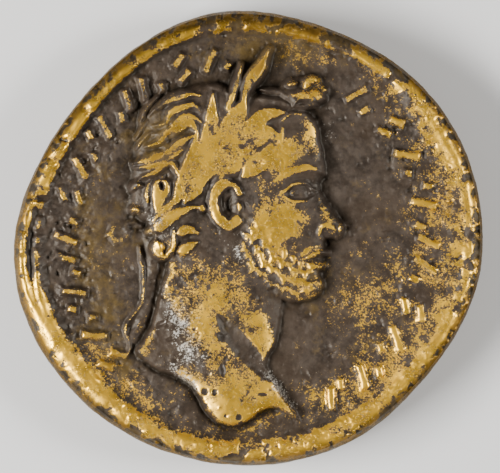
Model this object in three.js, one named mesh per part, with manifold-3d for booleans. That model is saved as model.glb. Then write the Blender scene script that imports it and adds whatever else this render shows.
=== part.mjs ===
// A Roman brass coin of sestertius size, struck by hand between two dies. One face has a laureate,
// short-bearded head in profile to the right, cut off below the neck in a curved line. The other has a
// standing draped figure with a dish and a horn of plenty. It is one solid.
//
// Millimetres, +Z up. The coin lies on the worn rim of its reverse with the head upwards. The crown of
// the head points to +Y, and the origin is under the middle of the flan, on the surface it lies on.

import * as THREE from "three";
import { mergeVertices } from "three/addons/utils/BufferGeometryUtils.js";
import Module from "manifold-3d";

const wasm = await Module();
wasm.setup();

// ---------- Driving dimensions ----------

const FLAN = { long: 33.2, short: 32.0, segments: 44 };
const RIM_TOP = 4.1; // crest of the obverse rim above the surface it lies on
const FIELD_TOP = 3.55; // the flat field of the obverse
const REVERSE_FIELD = 0.42; // how far the reverse field lies inside the seat rim
const WORN_TOP = 1.12; // no relief of the obverse stands higher above its field: it is rubbed flat there
const REVERSE_WORN_TOP = 0.36; // the same on the reverse, below the seat rim
const CREST = 1.0; // the rim's highest line lies this far inside the outline
const LETTER = { radius: 12.6, height: 1.9, stroke: 0.42, rise: 0.3 };
const BURIED = 0.3; // how far the foot of a raised form reaches into the flan

// The head follows the usual canon: the face is three equal parts, hairline to brow, brow to the base
// of the nose, and that to the chin.
const FACE = { third: 4.2, plane: 5.15, chin: -4.3 };

const degrees = THREE.MathUtils.degToRad;

// ---------- Solids and joins ----------

// A closed geometry as a solid that can be joined and cut.
function toSolid(geometry) {
  const bare = new THREE.BufferGeometry();
  bare.setAttribute("position", geometry.getAttribute("position"));
  bare.setIndex(geometry.index);
  const merged = mergeVertices(bare, 1e-4);
  const corners = merged.index.array;
  const kept = [];
  for (let i = 0; i < corners.length; i += 3) {
    const [a, b, c] = corners.slice(i, i + 3);
    if (a !== b && b !== c && c !== a) kept.push(a, b, c);
  }
  return new wasm.Manifold(
    new wasm.Mesh({
      numProp: 3,
      vertProperties: new Float32Array(merged.getAttribute("position").array),
      triVerts: new Uint32Array(kept),
    }),
  );
}

function toGeometry(solid) {
  const { vertProperties, triVerts } = solid.getMesh();
  const geometry = new THREE.BufferGeometry();
  geometry.setAttribute("position", new THREE.BufferAttribute(vertProperties, 3));
  geometry.setIndex(new THREE.BufferAttribute(triVerts, 1));
  geometry.computeVertexNormals();
  return geometry;
}

// Moves every vertex of a geometry to where place(x, y, z) says.
function reshape(geometry, place) {
  const position = geometry.getAttribute("position");
  for (let i = 0; i < position.count; i += 1) {
    position.setXYZ(i, ...place(position.getX(i), position.getY(i), position.getZ(i)));
  }
  return geometry;
}

// ---------- The flan ----------

// A smooth bump of height 1 at the angle `at`, gone at `half` degrees to either side.
function bell(angle, at, half) {
  const off = Math.abs(((angle - at + 540) % 360) - 180) / half;
  return off < 1 ? Math.cos((off * Math.PI) / 2) ** 2 : 0;
}

// The hand-struck flan is an oval with three flattened stretches.
const FLATS = [
  { at: 145, half: 52, depth: 1.2 },
  { at: 322, half: 34, depth: 0.42 },
  { at: 66, half: 34, depth: 0.28 },
];

function flanRadius(angle) {
  const [a, b] = [FLAN.long / 2, FLAN.short / 2];
  const oval = (a * b) / Math.hypot(b * Math.cos(degrees(angle)), a * Math.sin(degrees(angle)));
  return FLATS.reduce((radius, flat) => radius - flat.depth * bell(angle, flat.at, flat.half), oval);
}

// The strike is a little off centre, so the worn edge is broad at the lower left and narrow opposite.
function rimShare(angle) {
  return 1 + 0.6 * bell(angle, 208, 60) + 0.35 * bell(angle, 285, 60) - 0.38 * bell(angle, 140, 55);
}

// How far the obverse rim slopes from its crest down to the field: furthest on the right, where the
// strike ran out.
function rimFoot(angle) {
  return (
    0.85 +
    0.45 * bell(angle, 183, 22) +
    0.9 * bell(angle, 208, 55) +
    0.6 * bell(angle, 285, 60) +
    1.3 * bell(angle, 352, 60)
  );
}

// Rings from the middle of the reverse over the edge to the middle of the obverse: how far each lies
// inside the outline, and its height. Past the crest the distance counts in feet of the rim.
const SECTION = [
  { inset: 2.35, z: REVERSE_FIELD },
  { inset: 1.75, z: 0 },
  { inset: 0.85, z: 0 },
  { inset: 0.4, z: 0.22 },
  { inset: 0, z: 1.9 },
  { inset: 0.08, z: RIM_TOP - 1.2 },
  { inset: 0.36, z: RIM_TOP - 0.42 },
  { inset: CREST, z: RIM_TOP },
  { inset: CREST + 0.45, z: RIM_TOP - 0.08 },
  { inset: CREST + 1, z: FIELD_TOP },
];

const TINY = 1e-3; // places closer than this count as one

const angleOf = (x, y) => (THREE.MathUtils.radToDeg(Math.atan2(y, x)) + 360) % 360;

function flan() {
  const nominal = FLAN.long / 2;
  const profile = [
    new THREE.Vector2(0, REVERSE_FIELD),
    ...SECTION.map(({ inset, z }) => new THREE.Vector2(nominal - inset, z)),
    new THREE.Vector2(0, FIELD_TOP),
  ];
  const lathe = new THREE.LatheGeometry(profile, FLAN.segments).rotateX(Math.PI / 2);
  return reshape(lathe, (x, y, z) => {
    const radius = Math.hypot(x, y);
    if (radius < TINY) return [0, 0, z];
    const [angle, inset] = [angleOf(x, y), nominal - radius];
    const sloping = z >= FIELD_TOP && inset > CREST - TINY;
    const reach = sloping ? CREST + (inset - CREST) * rimFoot(angle) : inset * rimShare(angle);
    const share = (flanRadius(angle) - reach) / radius;
    return [x * share, y * share, z];
  });
}

// How high the obverse rim stands above the field at a point.
function rimRise(x, y) {
  const angle = angleOf(x, y);
  const inset = CREST + (flanRadius(angle) - Math.hypot(x, y) - CREST) / rimFoot(angle);
  const inner = SECTION.slice(-3);
  const next = inner.findIndex((ring) => ring.inset > inset);
  if (next < 1) return next === 0 ? RIM_TOP - FIELD_TOP : 0;
  const share = (inset - inner[next - 1].inset) / (inner[next].inset - inner[next - 1].inset);
  return THREE.MathUtils.lerp(inner[next - 1].z, inner[next].z, share) - FIELD_TOP;
}

// ---------- Raised forms ----------

function smooth(points, closed = false) {
  const at = points.map(([x, y]) => new THREE.Vector3(x, y, 0));
  return new THREE.CatmullRomCurve3(at, closed, "centripetal");
}

function insideOutline(outline, x, y) {
  let inside = false;
  for (let i = 0, j = outline.length - 1; i < outline.length; j = i, i += 1) {
    const [a, b] = [outline[i], outline[j]];
    if (a.y > y !== b.y > y && x < ((b.x - a.x) * (y - a.y)) / (b.y - a.y) + a.x) inside = !inside;
  }
  return inside;
}

function distanceToOutline(outline, x, y) {
  const [point, nearest, segment] = [new THREE.Vector3(x, y, 0), new THREE.Vector3(), new THREE.Line3()];
  return outline.reduce((least, start, i) => {
    segment.set(start, outline[(i + 1) % outline.length]).closestPointToPoint(point, true, nearest);
    return Math.min(least, nearest.distanceTo(point));
  }, Infinity);
}

// A mass of relief: it stands `edge` high at its outline, and rounds up to `crown` over `shoulder`.
// Swells are soft bumps or hollows on it.
function mass({ points, samples, edge, crown, shoulder, cell, swells = [] }) {
  const outline = smooth(points, true).getPoints(samples).slice(0, -1);
  const height = (x, y) => {
    const inside = insideOutline(outline, x, y);
    const depth = inside ? Math.min(distanceToOutline(outline, x, y) / shoulder, 1) : 0;
    const round = edge + (crown - edge) * Math.sqrt(1 - (1 - depth) ** 2);
    return swells.reduce((sum, { at, size, rise }) => {
      const [u, v] = [(x - at[0]) / size[0], (y - at[1]) / size[1]];
      return sum + rise * Math.exp(-(u * u + v * v));
    }, round);
  };
  return { outline, cell, height, holds: (x, y) => insideOutline(outline, x, y) };
}

const MARGIN = 0.4; // how much longer and wider the slab is than the form trimmed from it

// The mass as a solid: a slab with its top shaped by the height, trimmed to the outline.
function massSolid(form, datum) {
  const box = new THREE.Box2().setFromPoints(form.outline);
  const [size, middle] = [box.getSize(new THREE.Vector2()), box.getCenter(new THREE.Vector2())];
  const cells = [Math.ceil(size.x / form.cell), Math.ceil(size.y / form.cell)];
  const slab = new THREE.BoxGeometry(size.x + MARGIN, size.y + MARGIN, 1, ...cells, 1);
  slab.translate(middle.x, middle.y, 0);
  reshape(slab, (x, y, z) => [x, y, z > 0 ? datum + form.height(x, y) : datum - 2 * BURIED]);
  const shape = new THREE.Shape(form.outline.map(({ x, y }) => new THREE.Vector2(x, y)));
  const prism = new THREE.ExtrudeGeometry(shape, { depth: RIM_TOP, bevelEnabled: false });
  return toSolid(slab).intersect(toSolid(prism.translate(0, 0, datum - BURIED)));
}

// A face's ground is the highest mass at a point, or its rim, or its field.
function groundOf(masses, rim = () => 0) {
  return (x, y) => {
    return Math.max(rim(x, y), ...masses.filter((m) => m.holds(x, y)).map((m) => m.height(x, y)));
  };
}

// How the width of a band goes along it, as a share of its full width.
const lens = (t) => Math.sin(Math.PI * THREE.MathUtils.clamp(t, 0.06, 0.94)) ** 0.7; // pointed at both ends
const comma = (t) => (0.35 + 0.65 * Math.sin(Math.PI * (0.15 + 0.8 * t))) * (1 - 0.55 * t); // head and tail
const leaf = (t) => Math.sin(Math.PI * THREE.MathUtils.clamp(t, 0.03, 0.97) ** 0.8) ** 0.72; // broad base
const drop = (t) => Math.sin(Math.PI * THREE.MathUtils.clamp(t, 0.02, 0.95) ** 0.62) ** 0.8; // with a tail
const even = () => 1;

const FLANK = { share: 0.4, below: 0.1 }; // a band's sides: share of its rise, and depth below the worn top
const TIGHTEN = 0.12; // a curl's radius shrinks by this share at each third of its turn

// A band laid along a path on the ground: a box bent along it, with steep sides and a crowned top that
// is never higher than the worn surface. The floor is the least ground it lies on.
function band(face, { path, width, rise, shape = even, stations = 4, lanes = 2, floor = 0 }) {
  const [curve, box] = [smooth(path), new THREE.BoxGeometry(1, 1, 1, stations, lanes, 1)];
  return toSolid(
    reshape(box, (along, across, up) => {
      const t = along + 0.5;
      const [at, way] = [curve.getPoint(t), curve.getTangent(t)];
      const off = across * width * shape(t);
      const [x, y] = [at.x - way.y * off, at.y + way.x * off];
      const ground = Math.max(face.ground(x, y), floor);
      const flank = lanes > 1 && across !== 0;
      const [share, below] = flank ? [FLANK.share, FLANK.below] : [1, 0];
      const top = Math.min(ground + share * rise, face.worn - below);
      return [x, y, face.datum + (up > 0 ? top : -BURIED)];
    }),
  );
}

// A curl of hair: a band bent round a centre.
function curl(face, { at, radius, from, sweep, width, rise, stations = 4 }) {
  const turns = [0, 0.33, 0.67, 1].map((t) => degrees(from + sweep * t));
  const path = turns.map((a, i) => {
    const r = radius * (1 - TIGHTEN * i);
    return [at[0] + r * Math.cos(a), at[1] + r * Math.sin(a)];
  });
  return band(face, { path, width, rise, shape: comma, stations });
}

// ---------- The obverse: head and bust ----------

// A point of the profile: parts of a face third forward of the face's plane and up from the chin.
const onFace = ([forward, up]) => [FACE.plane + forward * FACE.third, FACE.chin + up * FACE.third];

// A calm, straight-nosed profile on the canon's thirds, from the hairline down to the chin.
const PROFILE = [
  [-0.12, 3.02],
  [0.0, 2.6],
  [0.06, 2.12],
  [-0.02, 1.9],
  [0.15, 1.55],
  [0.4, 1.18],
  [0.33, 1.03],
  [0.08, 0.98],
  [0.06, 0.87],
  [0.14, 0.76],
  [0.02, 0.67],
  [0.1, 0.57],
  [-0.03, 0.43],
  [0.06, 0.22],
  [-0.1, 0.02],
];

const faceMass = mass({
  points: [
    ...PROFILE.map(onFace),
    [3.0, -4.5],
    [1.4, -3.7],
    [0.1, -2.5],
    [-0.7, -1.0],
    [-1.1, 1.0],
    [-1.2, 4.5],
    [0.4, 7.8],
    [2.8, 9.3],
  ],
  samples: 72,
  edge: 0.34,
  crown: 0.95,
  shoulder: 2.9,
  cell: 0.72,
  swells: [
    { at: onFace([-0.78, 1.25]), size: [1.3, 1.1], rise: 0.12 }, // cheekbone
    { at: onFace([-0.28, 1.8]), size: [0.9, 0.75], rise: -0.26 }, // eye socket
    { at: onFace([-0.12, 2.2]), size: [1.0, 0.5], rise: 0.14 }, // brow
    { at: onFace([-0.3, 0.62]), size: [0.55, 0.5], rise: -0.1 }, // corner of the mouth
    { at: onFace([-0.2, 0.25]), size: [0.9, 0.6], rise: 0.16 }, // chin
    { at: onFace([0.14, 1.25]), size: [0.45, 0.6], rise: 0.14 }, // side of the nose
  ],
});

const neckMass = mass({
  points: [
    [2.6, -3.4],
    [2.45, -4.9],
    [2.3, -6.3],
    [1.9, -7.6],
    [1.35, -8.8],
    [2.2, -10.4],
    [3.1, -11.8],
    [3.8, -12.8],
    [2.9, -12.35],
    [1.9, -11.85],
    [1.0, -12.1],
    [0.1, -12.8],
    [-0.9, -13.1],
    [-1.95, -12.85],
    [-2.8, -12.1],
    [-3.35, -11.1],
    [-3.9, -10.3],
    [-4.9, -9.65],
    [-5.9, -9.35],
    [-6.9, -8.7],
    [-7.8, -7.9],
    [-7.25, -7.1],
    [-6.75, -6.2],
    [-6.4, -5.1],
    [-6.05, -3.8],
    [-5.7, -2.5],
    [-5.2, -0.9],
    [-4.2, 1.2],
    [-1.6, 2.0],
    [1.4, -0.6],
  ],
  samples: 72,
  edge: 0.42,
  crown: 0.86,
  shoulder: 2.4,
  cell: 1.35,
  swells: [
    { at: [-2.4, -4.4], size: [1.5, 3.4], rise: 0.1 }, // the muscle down the neck
    { at: [-0.2, -7.6], size: [1.1, 1.9], rise: -0.26 }, // the hollow before it
    { at: [1.9, -4.2], size: [2.0, 0.9], rise: -0.2 }, // under the jaw
    { at: [-1.2, -11.3], size: [1.6, 1.3], rise: 0.2 }, // the rounded end of the cut
  ],
});

const hairMass = mass({
  points: [
    [5.0, 8.9],
    [5.2, 9.6],
    [4.6, 10.3],
    [3.5, 10.5],
    [2.3, 10.3],
    [0.9, 10.2],
    [-0.8, 10.4],
    [-2.5, 10.9],
    [-4.2, 10.6],
    [-5.6, 10.0],
    [-6.7, 9.1],
    [-7.3, 8.0],
    [-7.7, 6.7],
    [-8.0, 5.3],
    [-8.1, 3.9],
    [-8.2, 2.7],
    [-7.9, 1.6],
    [-7.0, 0.9],
    [-6.7, 0.0],
    [-6.4, -1.0],
    [-5.5, -1.4],
    [-4.5, -1.1],
    [-3.6, -0.1],
    [-2.7, 1.2],
    [-2.0, 3.2],
    [-0.4, 4.0],
    [0.9, 4.1],
    [1.5, 5.3],
    [2.1, 6.5],
    [2.7, 7.5],
    [3.6, 8.4],
    [4.5, 8.9],
  ],
  samples: 62,
  edge: 0.34,
  crown: 0.86,
  shoulder: 1.9,
  cell: 1.4,
  swells: [
    { at: [-0.6, 6.4], size: [2.1, 2.6], rise: 0.24 }, // the middle of the wreath
    { at: [-6.2, 7.0], size: [1.8, 3.0], rise: -0.14 }, // the back of the head
  ],
});

const obverse = {
  datum: FIELD_TOP,
  worn: WORN_TOP,
  ground: groundOf([faceMass, neckMass, hairMass], rimRise),
};

// Leaves of the wreath, from the knot at the nape up to the brow. A path runs from base to tip.
const LEAVES = [
  { path: [[-3.05, 4.8], [-2.6, 6.95], [-2.35, 10.1]], width: 1.2 },
  { path: [[-1.55, 5.5], [-0.95, 7.8], [-0.1, 9.65]], width: 1.6 },
  { path: [[-1.35, 9.0], [-0.9, 10.2], [-0.38, 12.1]], width: 0.66 },
  { path: [[-0.25, 9.6], [0.5, 11.3], [1.6, 13.2]], width: 1.1 },
  { path: [[-0.2, 7.2], [1.2, 8.5], [2.65, 8.75]], width: 1.15 },
  { path: [[-0.1, 6.2], [1.2, 7.3], [2.3, 6.95]], width: 1.25 },
  { path: [[-0.3, 4.3], [1.0, 5.4], [1.7, 6.5]], width: 1.25 },
  { path: [[2.9, 10.5], [3.25, 10.75], [3.7, 10.9]], width: 0.42 },
  { path: [[3.85, 10.45], [4.3, 10.85], [4.95, 11.05]], width: 0.62 },
  { path: [[3.4, 9.6], [4.6, 10.15], [5.65, 9.7]], width: 0.8 },
  { path: [[-4.95, 2.45], [-4.3, 4.2], [-3.5, 7.15]], width: 1.15 },
  { path: [[-4.3, 2.5], [-3.4, 3.7], [-2.6, 5.0]], width: 1.1 },
];

function wreath() {
  const tie = { width: 0.62, rise: 0.36, shape: lens };
  return [
    ...LEAVES.map((form) => band(obverse, { rise: 0.42, shape: leaf, floor: 0.5, ...form })),
    band(obverse, { path: [[-6.6, 1.1], [-5.55, 2.1], [-4.5, 2.95]], ...tie }),
  ];
}

// The two ends of the tie hang behind the neck.
function ribbons() {
  const [thin, broad] = [{ width: 0.32, rise: 0.3 }, { width: 0.8, rise: 0.26 }];
  const behind = [[-7.5, -0.6], [-7.25, -2.8], [-7.35, -4.6], [-8.5, -6.3], [-8.1, -7.9], [-9.2, -9.3]];
  const nape = [[-6.9, 0.2], [-6.5, -1.8], [-6.8, -3.8], [-7.2, -5.6], [-7.9, -7.0]];
  return [
    band(obverse, { path: behind, stations: 10, ...thin }),
    band(obverse, { path: nape, stations: 6, ...broad }),
  ];
}

// Locks run from the crown back to the nape, over the top of the head and along the hairline.
const STRANDS = [
  { path: [[-3.2, 9.9], [-4.1, 10.0], [-5.2, 9.75], [-6.8, 8.5]], width: 0.6, rise: 0.34 },
  { path: [[-3.25, 8.85], [-4.5, 9.1], [-5.65, 8.0], [-6.5, 7.8]], width: 0.58, rise: 0.34 },
  { path: [[-3.2, 8.05], [-4.5, 8.45], [-5.7, 7.45], [-6.5, 7.15]], width: 0.48, rise: 0.32 },
  { path: [[-3.4, 7.35], [-4.65, 7.85], [-5.5, 7.3], [-7.1, 6.3]], width: 0.9, rise: 0.38 },
  { path: [[-3.75, 7.1], [-5.15, 6.25], [-6.0, 5.75], [-7.95, 5.2]], width: 0.8, rise: 0.38 },
  { path: [[-4.4, 6.1], [-5.15, 5.7], [-6.95, 4.95], [-7.85, 4.9]], width: 0.62, rise: 0.36 },
  { path: [[-4.75, 4.2], [-5.3, 5.2], [-6.35, 4.6], [-7.6, 4.05]], width: 0.44, rise: 0.36 },
  { path: [[-6.2, 9.9], [-7.0, 9.0], [-7.4, 8.0]], width: 0.4, rise: 0.22 },
  { path: [[-6.6, 7.4], [-7.2, 6.9], [-7.7, 6.2]], width: 0.4, rise: 0.22 },
  { path: [[0.9, 10.3], [2.0, 10.2], [3.1, 10.0]], width: 0.42, rise: 0.2 },
  { path: [[3.2, 9.2], [4.0, 9.1], [4.9, 9.3]], width: 0.42, rise: 0.24 },
  { path: [[2.0, 6.1], [2.4, 6.9], [2.5, 7.7]], width: 0.36, rise: 0.16 },
];

// Curls at the nape and behind the head, and the loop of the tie. Drops of hair hang between them.
const CURLS = [
  { at: [-5.85, -0.7], radius: 0.62, from: 75, sweep: -290, width: 0.62, rise: 0.42 },
  { at: [-3.95, 0.3], radius: 0.42, from: 60, sweep: 230, width: 0.56, rise: 0.38 },
  { at: [-7.65, 3.4], radius: 0.3, from: 60, sweep: 220, width: 0.46, rise: 0.34 },
  { at: [-8.9, 0.3], radius: 0.72, from: 20, sweep: 330, width: 0.3, rise: 0.2, stations: 6 },
];
const DROPS = [
  { path: [[-5.85, 4.2], [-6.05, 3.0], [-6.35, 1.75]], width: 1.3, rise: 0.4, shape: drop },
  { path: [[-4.6, -0.95], [-4.1, -0.6], [-3.5, -0.3]], width: 0.7, rise: 0.44 },
  { path: [[-7.95, 1.95], [-7.55, 1.95]], width: 0.5, rise: 0.34, stations: 2 },
  { path: [[-3.3, 2.15], [-2.8, 1.95]], width: 0.7, rise: 0.44, stations: 2 },
  { path: [[-3.5, 2.2], [-5.55, 1.3], [-6.85, 0.45]], width: 0.8, rise: 0.48 },
];

function hair() {
  return [
    ...[...STRANDS, ...DROPS].map((form) => band(obverse, { shape: lens, ...form })),
    ...CURLS.map((form) => curl(obverse, form)),
  ];
}

function ear() {
  const helix = [[-0.45, 3.25], [-0.85, 3.85], [-1.6, 3.95], [-2.3, 3.3], [-2.45, 2.3], [-2.1, 1.35]];
  const lobe = [[-2.15, 1.45], [-1.65, 0.8], [-1.0, 0.6], [-0.6, 1.1]];
  const inner = [[-1.75, 3.2], [-1.85, 2.3], [-1.45, 1.5]];
  return [
    band(obverse, { path: helix, width: 0.62, rise: 0.5, stations: 6 }),
    band(obverse, { path: lobe, width: 0.8, rise: 0.46 }),
    band(obverse, { path: inner, width: 0.32, rise: 0.22, stations: 2 }),
    band(obverse, { path: [[-0.6, 2.7], [-0.5, 1.8]], width: 0.45, rise: 0.3, shape: lens, stations: 2 }),
  ];
}

// The features stand where the canon puts them, as low bands on the face.
function features() {
  const parts = [
    { path: [[0.06, 2.08], [-0.3, 2.14], [-0.78, 1.98]], width: 0.5, rise: 0.14 }, // brow
    { path: [[-0.1, 1.82], [-0.32, 1.92], [-0.66, 1.74]], width: 0.26, rise: 0.2 }, // upper lid
    { path: [[-0.14, 1.72], [-0.34, 1.66], [-0.64, 1.72]], width: 0.22, rise: 0.14 }, // lower lid
    { path: [[-0.16, 1.77], [-0.48, 1.78]], width: 0.62, rise: 0.2 }, // eyeball
    { path: [[0.24, 1.06], [0.08, 1.22], [-0.02, 1.06]], width: 0.42, rise: 0.22 }, // wing of the nose
    { path: [[0.12, 0.77], [-0.08, 0.76], [-0.28, 0.68]], width: 0.34, rise: 0.2 }, // upper lip
    { path: [[0.08, 0.56], [-0.08, 0.55], [-0.24, 0.63]], width: 0.4, rise: 0.18 }, // lower lip
  ];
  return parts.map(({ path, ...form }) => {
    return band(obverse, { path: path.map(onFace), shape: lens, stations: 3, ...form });
  });
}

// Short locks of the beard, in rows along the jaw and over the chin. They turn from hanging by the ear
// to pointing forward under the chin.
function beard() {
  const rows = [
    { along: [[-0.3, -0.2], [0.3, -2.0], [1.3, -3.0], [2.7, -3.8], [4.3, -3.85]], count: 8 },
    { along: [[0.4, 0.2], [1.0, -1.5], [2.2, -2.6], [3.4, -3.0], [4.6, -2.9]], count: 7 },
  ];
  return rows.flatMap(({ along, count }) => {
    const curve = smooth(along);
    return Array.from({ length: count }, (_, i) => {
      const { x, y } = curve.getPoint(i / (count - 1));
      const way = degrees(THREE.MathUtils.lerp(-80, -15, i / (count - 1)));
      const path = [[x, y], [x + 0.9 * Math.cos(way), y + 0.9 * Math.sin(way)]];
      return band(obverse, { path, width: 0.44, rise: 0.18, shape: comma, stations: 2 });
    });
  });
}

// ---------- Rows of strokes in place of lettering ----------

// A mark is a pair of bars that don't touch, and all of them lean the same way. `along` and `up` place
// the middle of a bar, and `long` is its length, in units of the mark's height. `lean` is in degrees.
const MARKS = [
  [{ along: -0.3, up: 0, lean: 20, long: 1 }, { along: 0.3, up: -0.28, lean: 20, long: 0.44 }],
  [{ along: -0.3, up: 0.28, lean: 26, long: 0.44 }, { along: 0.28, up: 0, lean: 26, long: 1 }],
  [{ along: 0, up: 0.33, lean: 60, long: 0.66 }, { along: 0, up: -0.28, lean: 60, long: 0.66 }],
  [{ along: -0.3, up: -0.26, lean: 28, long: 0.48 }, { along: 0.27, up: 0.04, lean: 28, long: 0.92 }],
  [{ along: -0.2, up: 0, lean: 36, long: 1 }, { along: 0.4, up: -0.28, lean: 36, long: 0.4 }],
];

// Rows run clockwise, with the tops of the marks outwards.
function legend(face, rows) {
  return rows.flatMap(({ from, to, count }) =>
    Array.from({ length: count }, (_, i) => {
      const middle = from + ((to - from) * i) / (count - 1);
      return MARKS[(i * 2 + count) % MARKS.length].map(({ along, up, lean, long }) => {
        const turn = degrees(middle - 90);
        const place = (u, v) => {
          const [x, y] = [u * LETTER.height, LETTER.radius + v * LETTER.height];
          return [x * Math.cos(turn) - y * Math.sin(turn), x * Math.sin(turn) + y * Math.cos(turn)];
        };
        const [s, c] = [Math.sin(degrees(lean)) * (long / 2), Math.cos(degrees(lean)) * (long / 2)];
        const path = [place(along - s, up - c), place(along + s, up + c)];
        return band(face, { path, width: LETTER.stroke, rise: LETTER.rise, stations: 1, lanes: 1 });
      });
    }).flat(),
  );
}

// ---------- The reverse: a standing figure ----------

const gownMass = mass({
  points: [
    [-0.9, 6.7],
    [-2.0, 6.2],
    [-1.7, 4.6],
    [-1.35, 3.2],
    [-1.9, 1.4],
    [-2.1, -2.0],
    [-2.4, -5.5],
    [-2.7, -8.9],
    [0.0, -9.2],
    [2.8, -8.9],
    [2.4, -5.5],
    [2.1, -2.0],
    [1.9, 1.2],
    [1.45, 3.2],
    [1.8, 4.8],
    [2.0, 6.2],
    [0.9, 6.7],
  ],
  samples: 28,
  edge: 0.1,
  crown: 0.24,
  shoulder: 1.2,
  cell: 2.6,
});

const reverse = {
  datum: -REVERSE_FIELD,
  worn: REVERSE_WORN_TOP,
  ground: groundOf([gownMass]),
};

function standingFigure() {
  const raise = (path, width, rise, form = {}) => {
    return band(reverse, { path, width, rise, shape: lens, stations: 3, ...form });
  };
  const bar = { shape: even, stations: 1, lanes: 1 };
  const folds = [-1, -0.5, 0, 0.5, 1].map((side) => {
    const path = [[side * 0.9, 1.6], [side * 1.5, -3.4], [side * 2.2, -8.7]];
    return raise(path, 0.4, 0.1, { ...bar, stations: 2 });
  });
  const mantle = [0, 1, 2].map((i) => {
    return raise([[-1.8, 1.9 - i], [0.1, 1.5 - 0.8 * i], [1.7, 3.2 - 0.5 * i]], 0.4, 0.12, { lanes: 1 });
  });
  const widening = { shape: (t) => 0.25 + 0.75 * t };
  return [
    raise([[0, 6.4], [0, 7.4]], 0.9, 0.22, bar), // neck
    raise([[-0.05, 6.9], [0, 8.1], [0.1, 9.5]], 2.1, 0.34), // head
    raise([[0.5, 8.5], [1.5, 8.1]], 0.9, 0.28, { stations: 2 }), // knot of hair
    ...folds,
    ...mantle,
    raise([[-1.6, 6.2], [-3.0, 4.3], [-4.9, 4.7]], 1.0, 0.3, { shape: comma }), // arm with the dish
    raise([[-6.6, 4.9], [-5.5, 5.1], [-4.5, 4.9]], 0.9, 0.28), // dish
    raise([[1.6, 6.0], [3.0, 3.8], [2.4, 2.6]], 0.95, 0.3, { shape: comma }), // arm with the horn
    raise([[2.3, 1.8], [3.1, 4.8], [4.3, 8.2]], 1.7, 0.34, widening), // horn of plenty
    raise([[3.5, 8.7], [5.0, 8.3]], 0.8, 0.34, { stations: 2 }), // fruit
    raise([[-6.2, -8.9], [-6.2, -5.6]], 1.5, 0.22, bar), // altar
    raise([[-7.3, -5.4], [-5.1, -5.4]], 0.6, 0.26, bar),
    raise([[-8.4, -9.6], [8.4, -9.6]], 0.36, 0.22, bar), // ground line
  ];
}

// ---------- The coin ----------

const LEGENDS = {
  obverse: [{ from: 222, to: 100, count: 12 }, { from: 50, to: -60, count: 10 }],
  reverse: [{ from: 220, to: 118, count: 8 }, { from: 62, to: -40, count: 8 }],
};

// A reverse form is laid out upright as it is read, and then turned over to the underside.
function toUnderside(solid) {
  const turned = toGeometry(solid).rotateY(Math.PI);
  return toSolid(turned);
}

function coin() {
  const front = [
    ...[neckMass, faceMass, hairMass].map((form) => massSolid(form, obverse.datum)),
    ...hair(),
    ...wreath(),
    ...ribbons(),
    ...ear(),
    ...features(),
    ...beard(),
    ...legend(obverse, LEGENDS.obverse),
  ];
  const back = [
    massSolid(gownMass, reverse.datum),
    ...standingFigure(),
    ...legend(reverse, LEGENDS.reverse),
  ];
  const struck = [...front, ...back.map(toUnderside)];
  return struck.reduce((joined, form) => joined.add(form), toSolid(flan()));
}

const brass = new THREE.MeshStandardMaterial({
  name: "patinated_brass",
  color: new THREE.Color(0.47, 0.37, 0.22),
  roughness: 0.45,
  metalness: 0.8,
});

const mesh = new THREE.Mesh(toGeometry(coin()), brass);
mesh.name = "coin";

// The strike's middle is a little off the flan's: the origin is under the flan's.
mesh.geometry.computeBoundingBox();
const middle = mesh.geometry.boundingBox.getCenter(new THREE.Vector3());
mesh.position.set(-middle.x, -middle.y, 0);

const group = new THREE.Group();
group.name = "roman_brass_coin";
group.add(mesh);

export default group;
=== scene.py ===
# %% [markdown]
# # A Roman brass coin, worn and darkened
# The coin is one piece of struck metal. Its solid gives the size, the outline and the main relief.
# Here that solid is used as a frame, and one fine mesh takes its place: the same head, wreath, marks
# and rim, with strands, pits and wear that a few thousand flat faces can't hold.

import bpy
import numpy as np
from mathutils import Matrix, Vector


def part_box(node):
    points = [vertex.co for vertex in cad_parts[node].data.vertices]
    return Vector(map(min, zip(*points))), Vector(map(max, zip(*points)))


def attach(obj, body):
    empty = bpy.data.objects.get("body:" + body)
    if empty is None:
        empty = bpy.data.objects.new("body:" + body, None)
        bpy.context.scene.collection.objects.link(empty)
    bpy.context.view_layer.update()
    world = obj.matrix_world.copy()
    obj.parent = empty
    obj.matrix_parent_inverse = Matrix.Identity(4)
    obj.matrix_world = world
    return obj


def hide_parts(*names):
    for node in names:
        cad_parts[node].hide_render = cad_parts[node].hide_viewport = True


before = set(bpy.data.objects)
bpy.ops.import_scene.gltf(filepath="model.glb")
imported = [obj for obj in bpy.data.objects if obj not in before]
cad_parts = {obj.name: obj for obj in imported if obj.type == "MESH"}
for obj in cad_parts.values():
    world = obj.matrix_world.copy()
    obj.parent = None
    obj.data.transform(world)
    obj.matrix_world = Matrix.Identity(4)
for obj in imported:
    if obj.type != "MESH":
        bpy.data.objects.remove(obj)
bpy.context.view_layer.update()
low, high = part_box("coin")
MM = 0.001
print("coin", [round((h - l) / MM, 2) for l, h in zip(low, high)], "mm")

# %% [markdown]
# ## Heights on a raster
# A coin's face is a landscape seen from above: each place has one height. So the whole face can be
# one array of heights, in millimetres, and every form on it is a formula of x and y. This keeps the
# edges of the forms soft where the die was worn, and it lets one rule rub all of them down at once.

# %% Driving dimensions, as on the solid
FLAN_LONG, FLAN_SHORT = 33.2, 32.0  # the outline's oval, before parts of it are flattened
WORN_TOP = 1.12  # wear stops the relief at this height over the field
FIELD_TOP = high.z / MM - WORN_TOP
RIM_TOP = FIELD_TOP + 0.55
REVERSE_FIELD = 0.42  # over the table
REVERSE_WORN_TOP = 0.36
MARK_RADIUS, MARK_HEIGHT = 12.6, 1.9
FACE_THIRD, FACE_PLANE, FACE_CHIN = 4.2, 5.15, -4.3

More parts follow.
